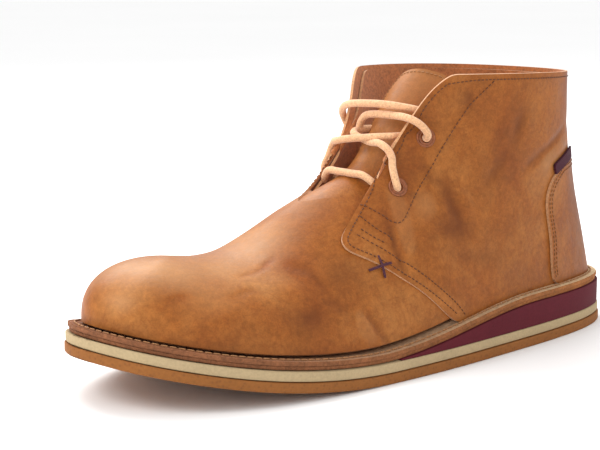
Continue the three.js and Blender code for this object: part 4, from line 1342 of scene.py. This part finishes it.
class BOOT_OT_cross_stitch(bpy.types.Operator):
    """Sews the burgundy cross over each quarter's corner seam"""

    bl_idname = "boot.cross_stitch"
    bl_label = "Cross stitch"
    bl_options = {"REGISTER", "UNDO"}

    ARMS = (((0.533, 0.453), (0.53, 0.337)), ((0.516, 0.39), (0.544, 0.387)))

    def execute(self, context):
        rows = []
        for side in (1, -1):
            for ends in self.ARMS:
                line = on_skin([(side * a, u) for a, u in ends])
                for shift in (-0.28, 0.28):
                    places, normals = lay(line, ("quarters", "vamp"))
                    places = places + unit(np.cross(normals, places[1] - places[0])) * shift * MM
                    middle = lay((places[:1] + places[1:]) / 2, ("quarters", "vamp"))
                    places = np.stack([places[0], middle[0][0] + middle[1][0] * 0.9 * MM, places[1]])
                    rows.append((places + normals.mean(0) * 0.5 * MM, np.stack([normals.mean(0)] * 3)))
        piece = stitches("cross_stitch", rows, "cross_thread", 0.75 * MM, 20 * MM, lift=0.4, fill=1.12)
        settle(piece, "tab")
        return {"FINISHED"}


class BOOT_OT_welt_stitches(bpy.types.Operator):
    """Sews the welt: a row along its top, beside the upper"""

    bl_idname = "boot.welt_stitches"
    bl_label = "Welt stitches"
    bl_options = {"REGISTER", "UNDO"}

    def execute(self, context):
        ways = np.linspace(0, 2, 400)
        place, _ = plan(ways, WELT_ROW)
        top = (welt_low(place[:, 0]) + WELT)[:, None]
        points = spaced(np.concatenate([place, top], 1), WELT_PITCH)
        normals = np.tile([0.0, 0.0, 1.0], (len(points), 1))
        piece = stitches("welt_stitches", [(points, normals)], "welt_thread", WELT_THICK, WELT_STITCH)
        settle(piece, "welt")
        return {"FINISHED"}


class BOOT_OT_stage(bpy.types.Operator):
    """Adds the pale floor and the soft studio light"""

    bl_idname = "boot.stage"
    bl_label = "Stage"
    bl_options = {"REGISTER", "UNDO"}

    # Place, power and size of each soft light
    LIGHTS = (((0.95, -0.2, 0.85), 6, 0.5), ((0.2, 1.0, 0.7), 1.0, 0.8), ((-0.1, -0.62, 0.85), 12, 0.8))

    def execute(self, context):
        clear_selection()
        bpy.ops.mesh.primitive_plane_add(size=12, location=(0, 0, 0))
        floor = bpy.context.object
        floor.name = "floor"
        # Matt white paper
        material, tree, spot = start_material("pale_floor", roughness=0.9)
        shown = colours().floor
        base = ramp(tree, noise(tree, spot, 3), (0.3, toned(shown, 0.985)), (0.7, shown))
        floor.data.materials.append(finished(material, base_color=base))
        for place, power, size in self.LIGHTS:
            turn = (Vector((0, 0, 0.05)) - Vector(place)).to_track_quat("-Z", "Y").to_euler()
            bpy.ops.object.light_add(type="AREA", location=place, rotation=turn)
            light = bpy.context.object.data
            light.energy = power
            light.size = size
        world = bpy.data.worlds.new("studio")
        world.use_nodes = True
        back = world.node_tree.nodes["Background"]
        back.inputs["Color"].default_value = (1, 1, 1, 1)
        back.inputs["Strength"].default_value = 1.0
        bpy.context.scene.world = world
        bpy.context.scene.view_settings.view_transform = "Standard"
        return {"FINISHED"}


STEPS = (
    BOOT_OT_camera, BOOT_OT_lace_ends, BOOT_OT_stage, BOOT_OT_vamp, BOOT_OT_quarters, BOOT_OT_counter,
    BOOT_OT_tongue, BOOT_OT_insole, BOOT_OT_side_tab, BOOT_OT_eyelets, BOOT_OT_lacing, BOOT_OT_outsole,
    BOOT_OT_midsole, BOOT_OT_wedge, BOOT_OT_welt, BOOT_OT_stitching, BOOT_OT_cross_stitch,
    BOOT_OT_welt_stitches,
)


class BOOT_PT_panel(bpy.types.Panel):
    """Lists the boot's pieces, sizes and colours"""

    bl_idname = "BOOT_PT_panel"
    bl_label = "Chukka boot"
    bl_space_type = "VIEW_3D"
    bl_region_type = "UI"
    bl_category = "Boot"

    def draw(self, context):
        for kind in STEPS:
            self.layout.operator(kind.bl_idname)
        for group in (context.scene.boot_sizes, context.scene.boot_colours):
            box = self.layout.box()
            for name in group.bl_rna.properties.keys():
                if name not in {"rna_type", "name"}:
                    box.prop(group, name)


CLASSES = (BootSizes, BootColours, *STEPS, BOOT_PT_panel)


def register():
    for kind in CLASSES:
        bpy.utils.register_class(kind)
    bpy.types.Scene.boot_sizes = PointerProperty(type=BootSizes)
    bpy.types.Scene.boot_colours = PointerProperty(type=BootColours)


def unregister():
    del bpy.types.Scene.boot_colours
    del bpy.types.Scene.boot_sizes
    for kind in reversed(CLASSES):
        bpy.utils.unregister_class(kind)


def main():
    register()
    for kind in STEPS:
        group, name = kind.bl_idname.split(".")
        getattr(getattr(bpy.ops, group), name)()


if __name__ == "__main__":
    main()
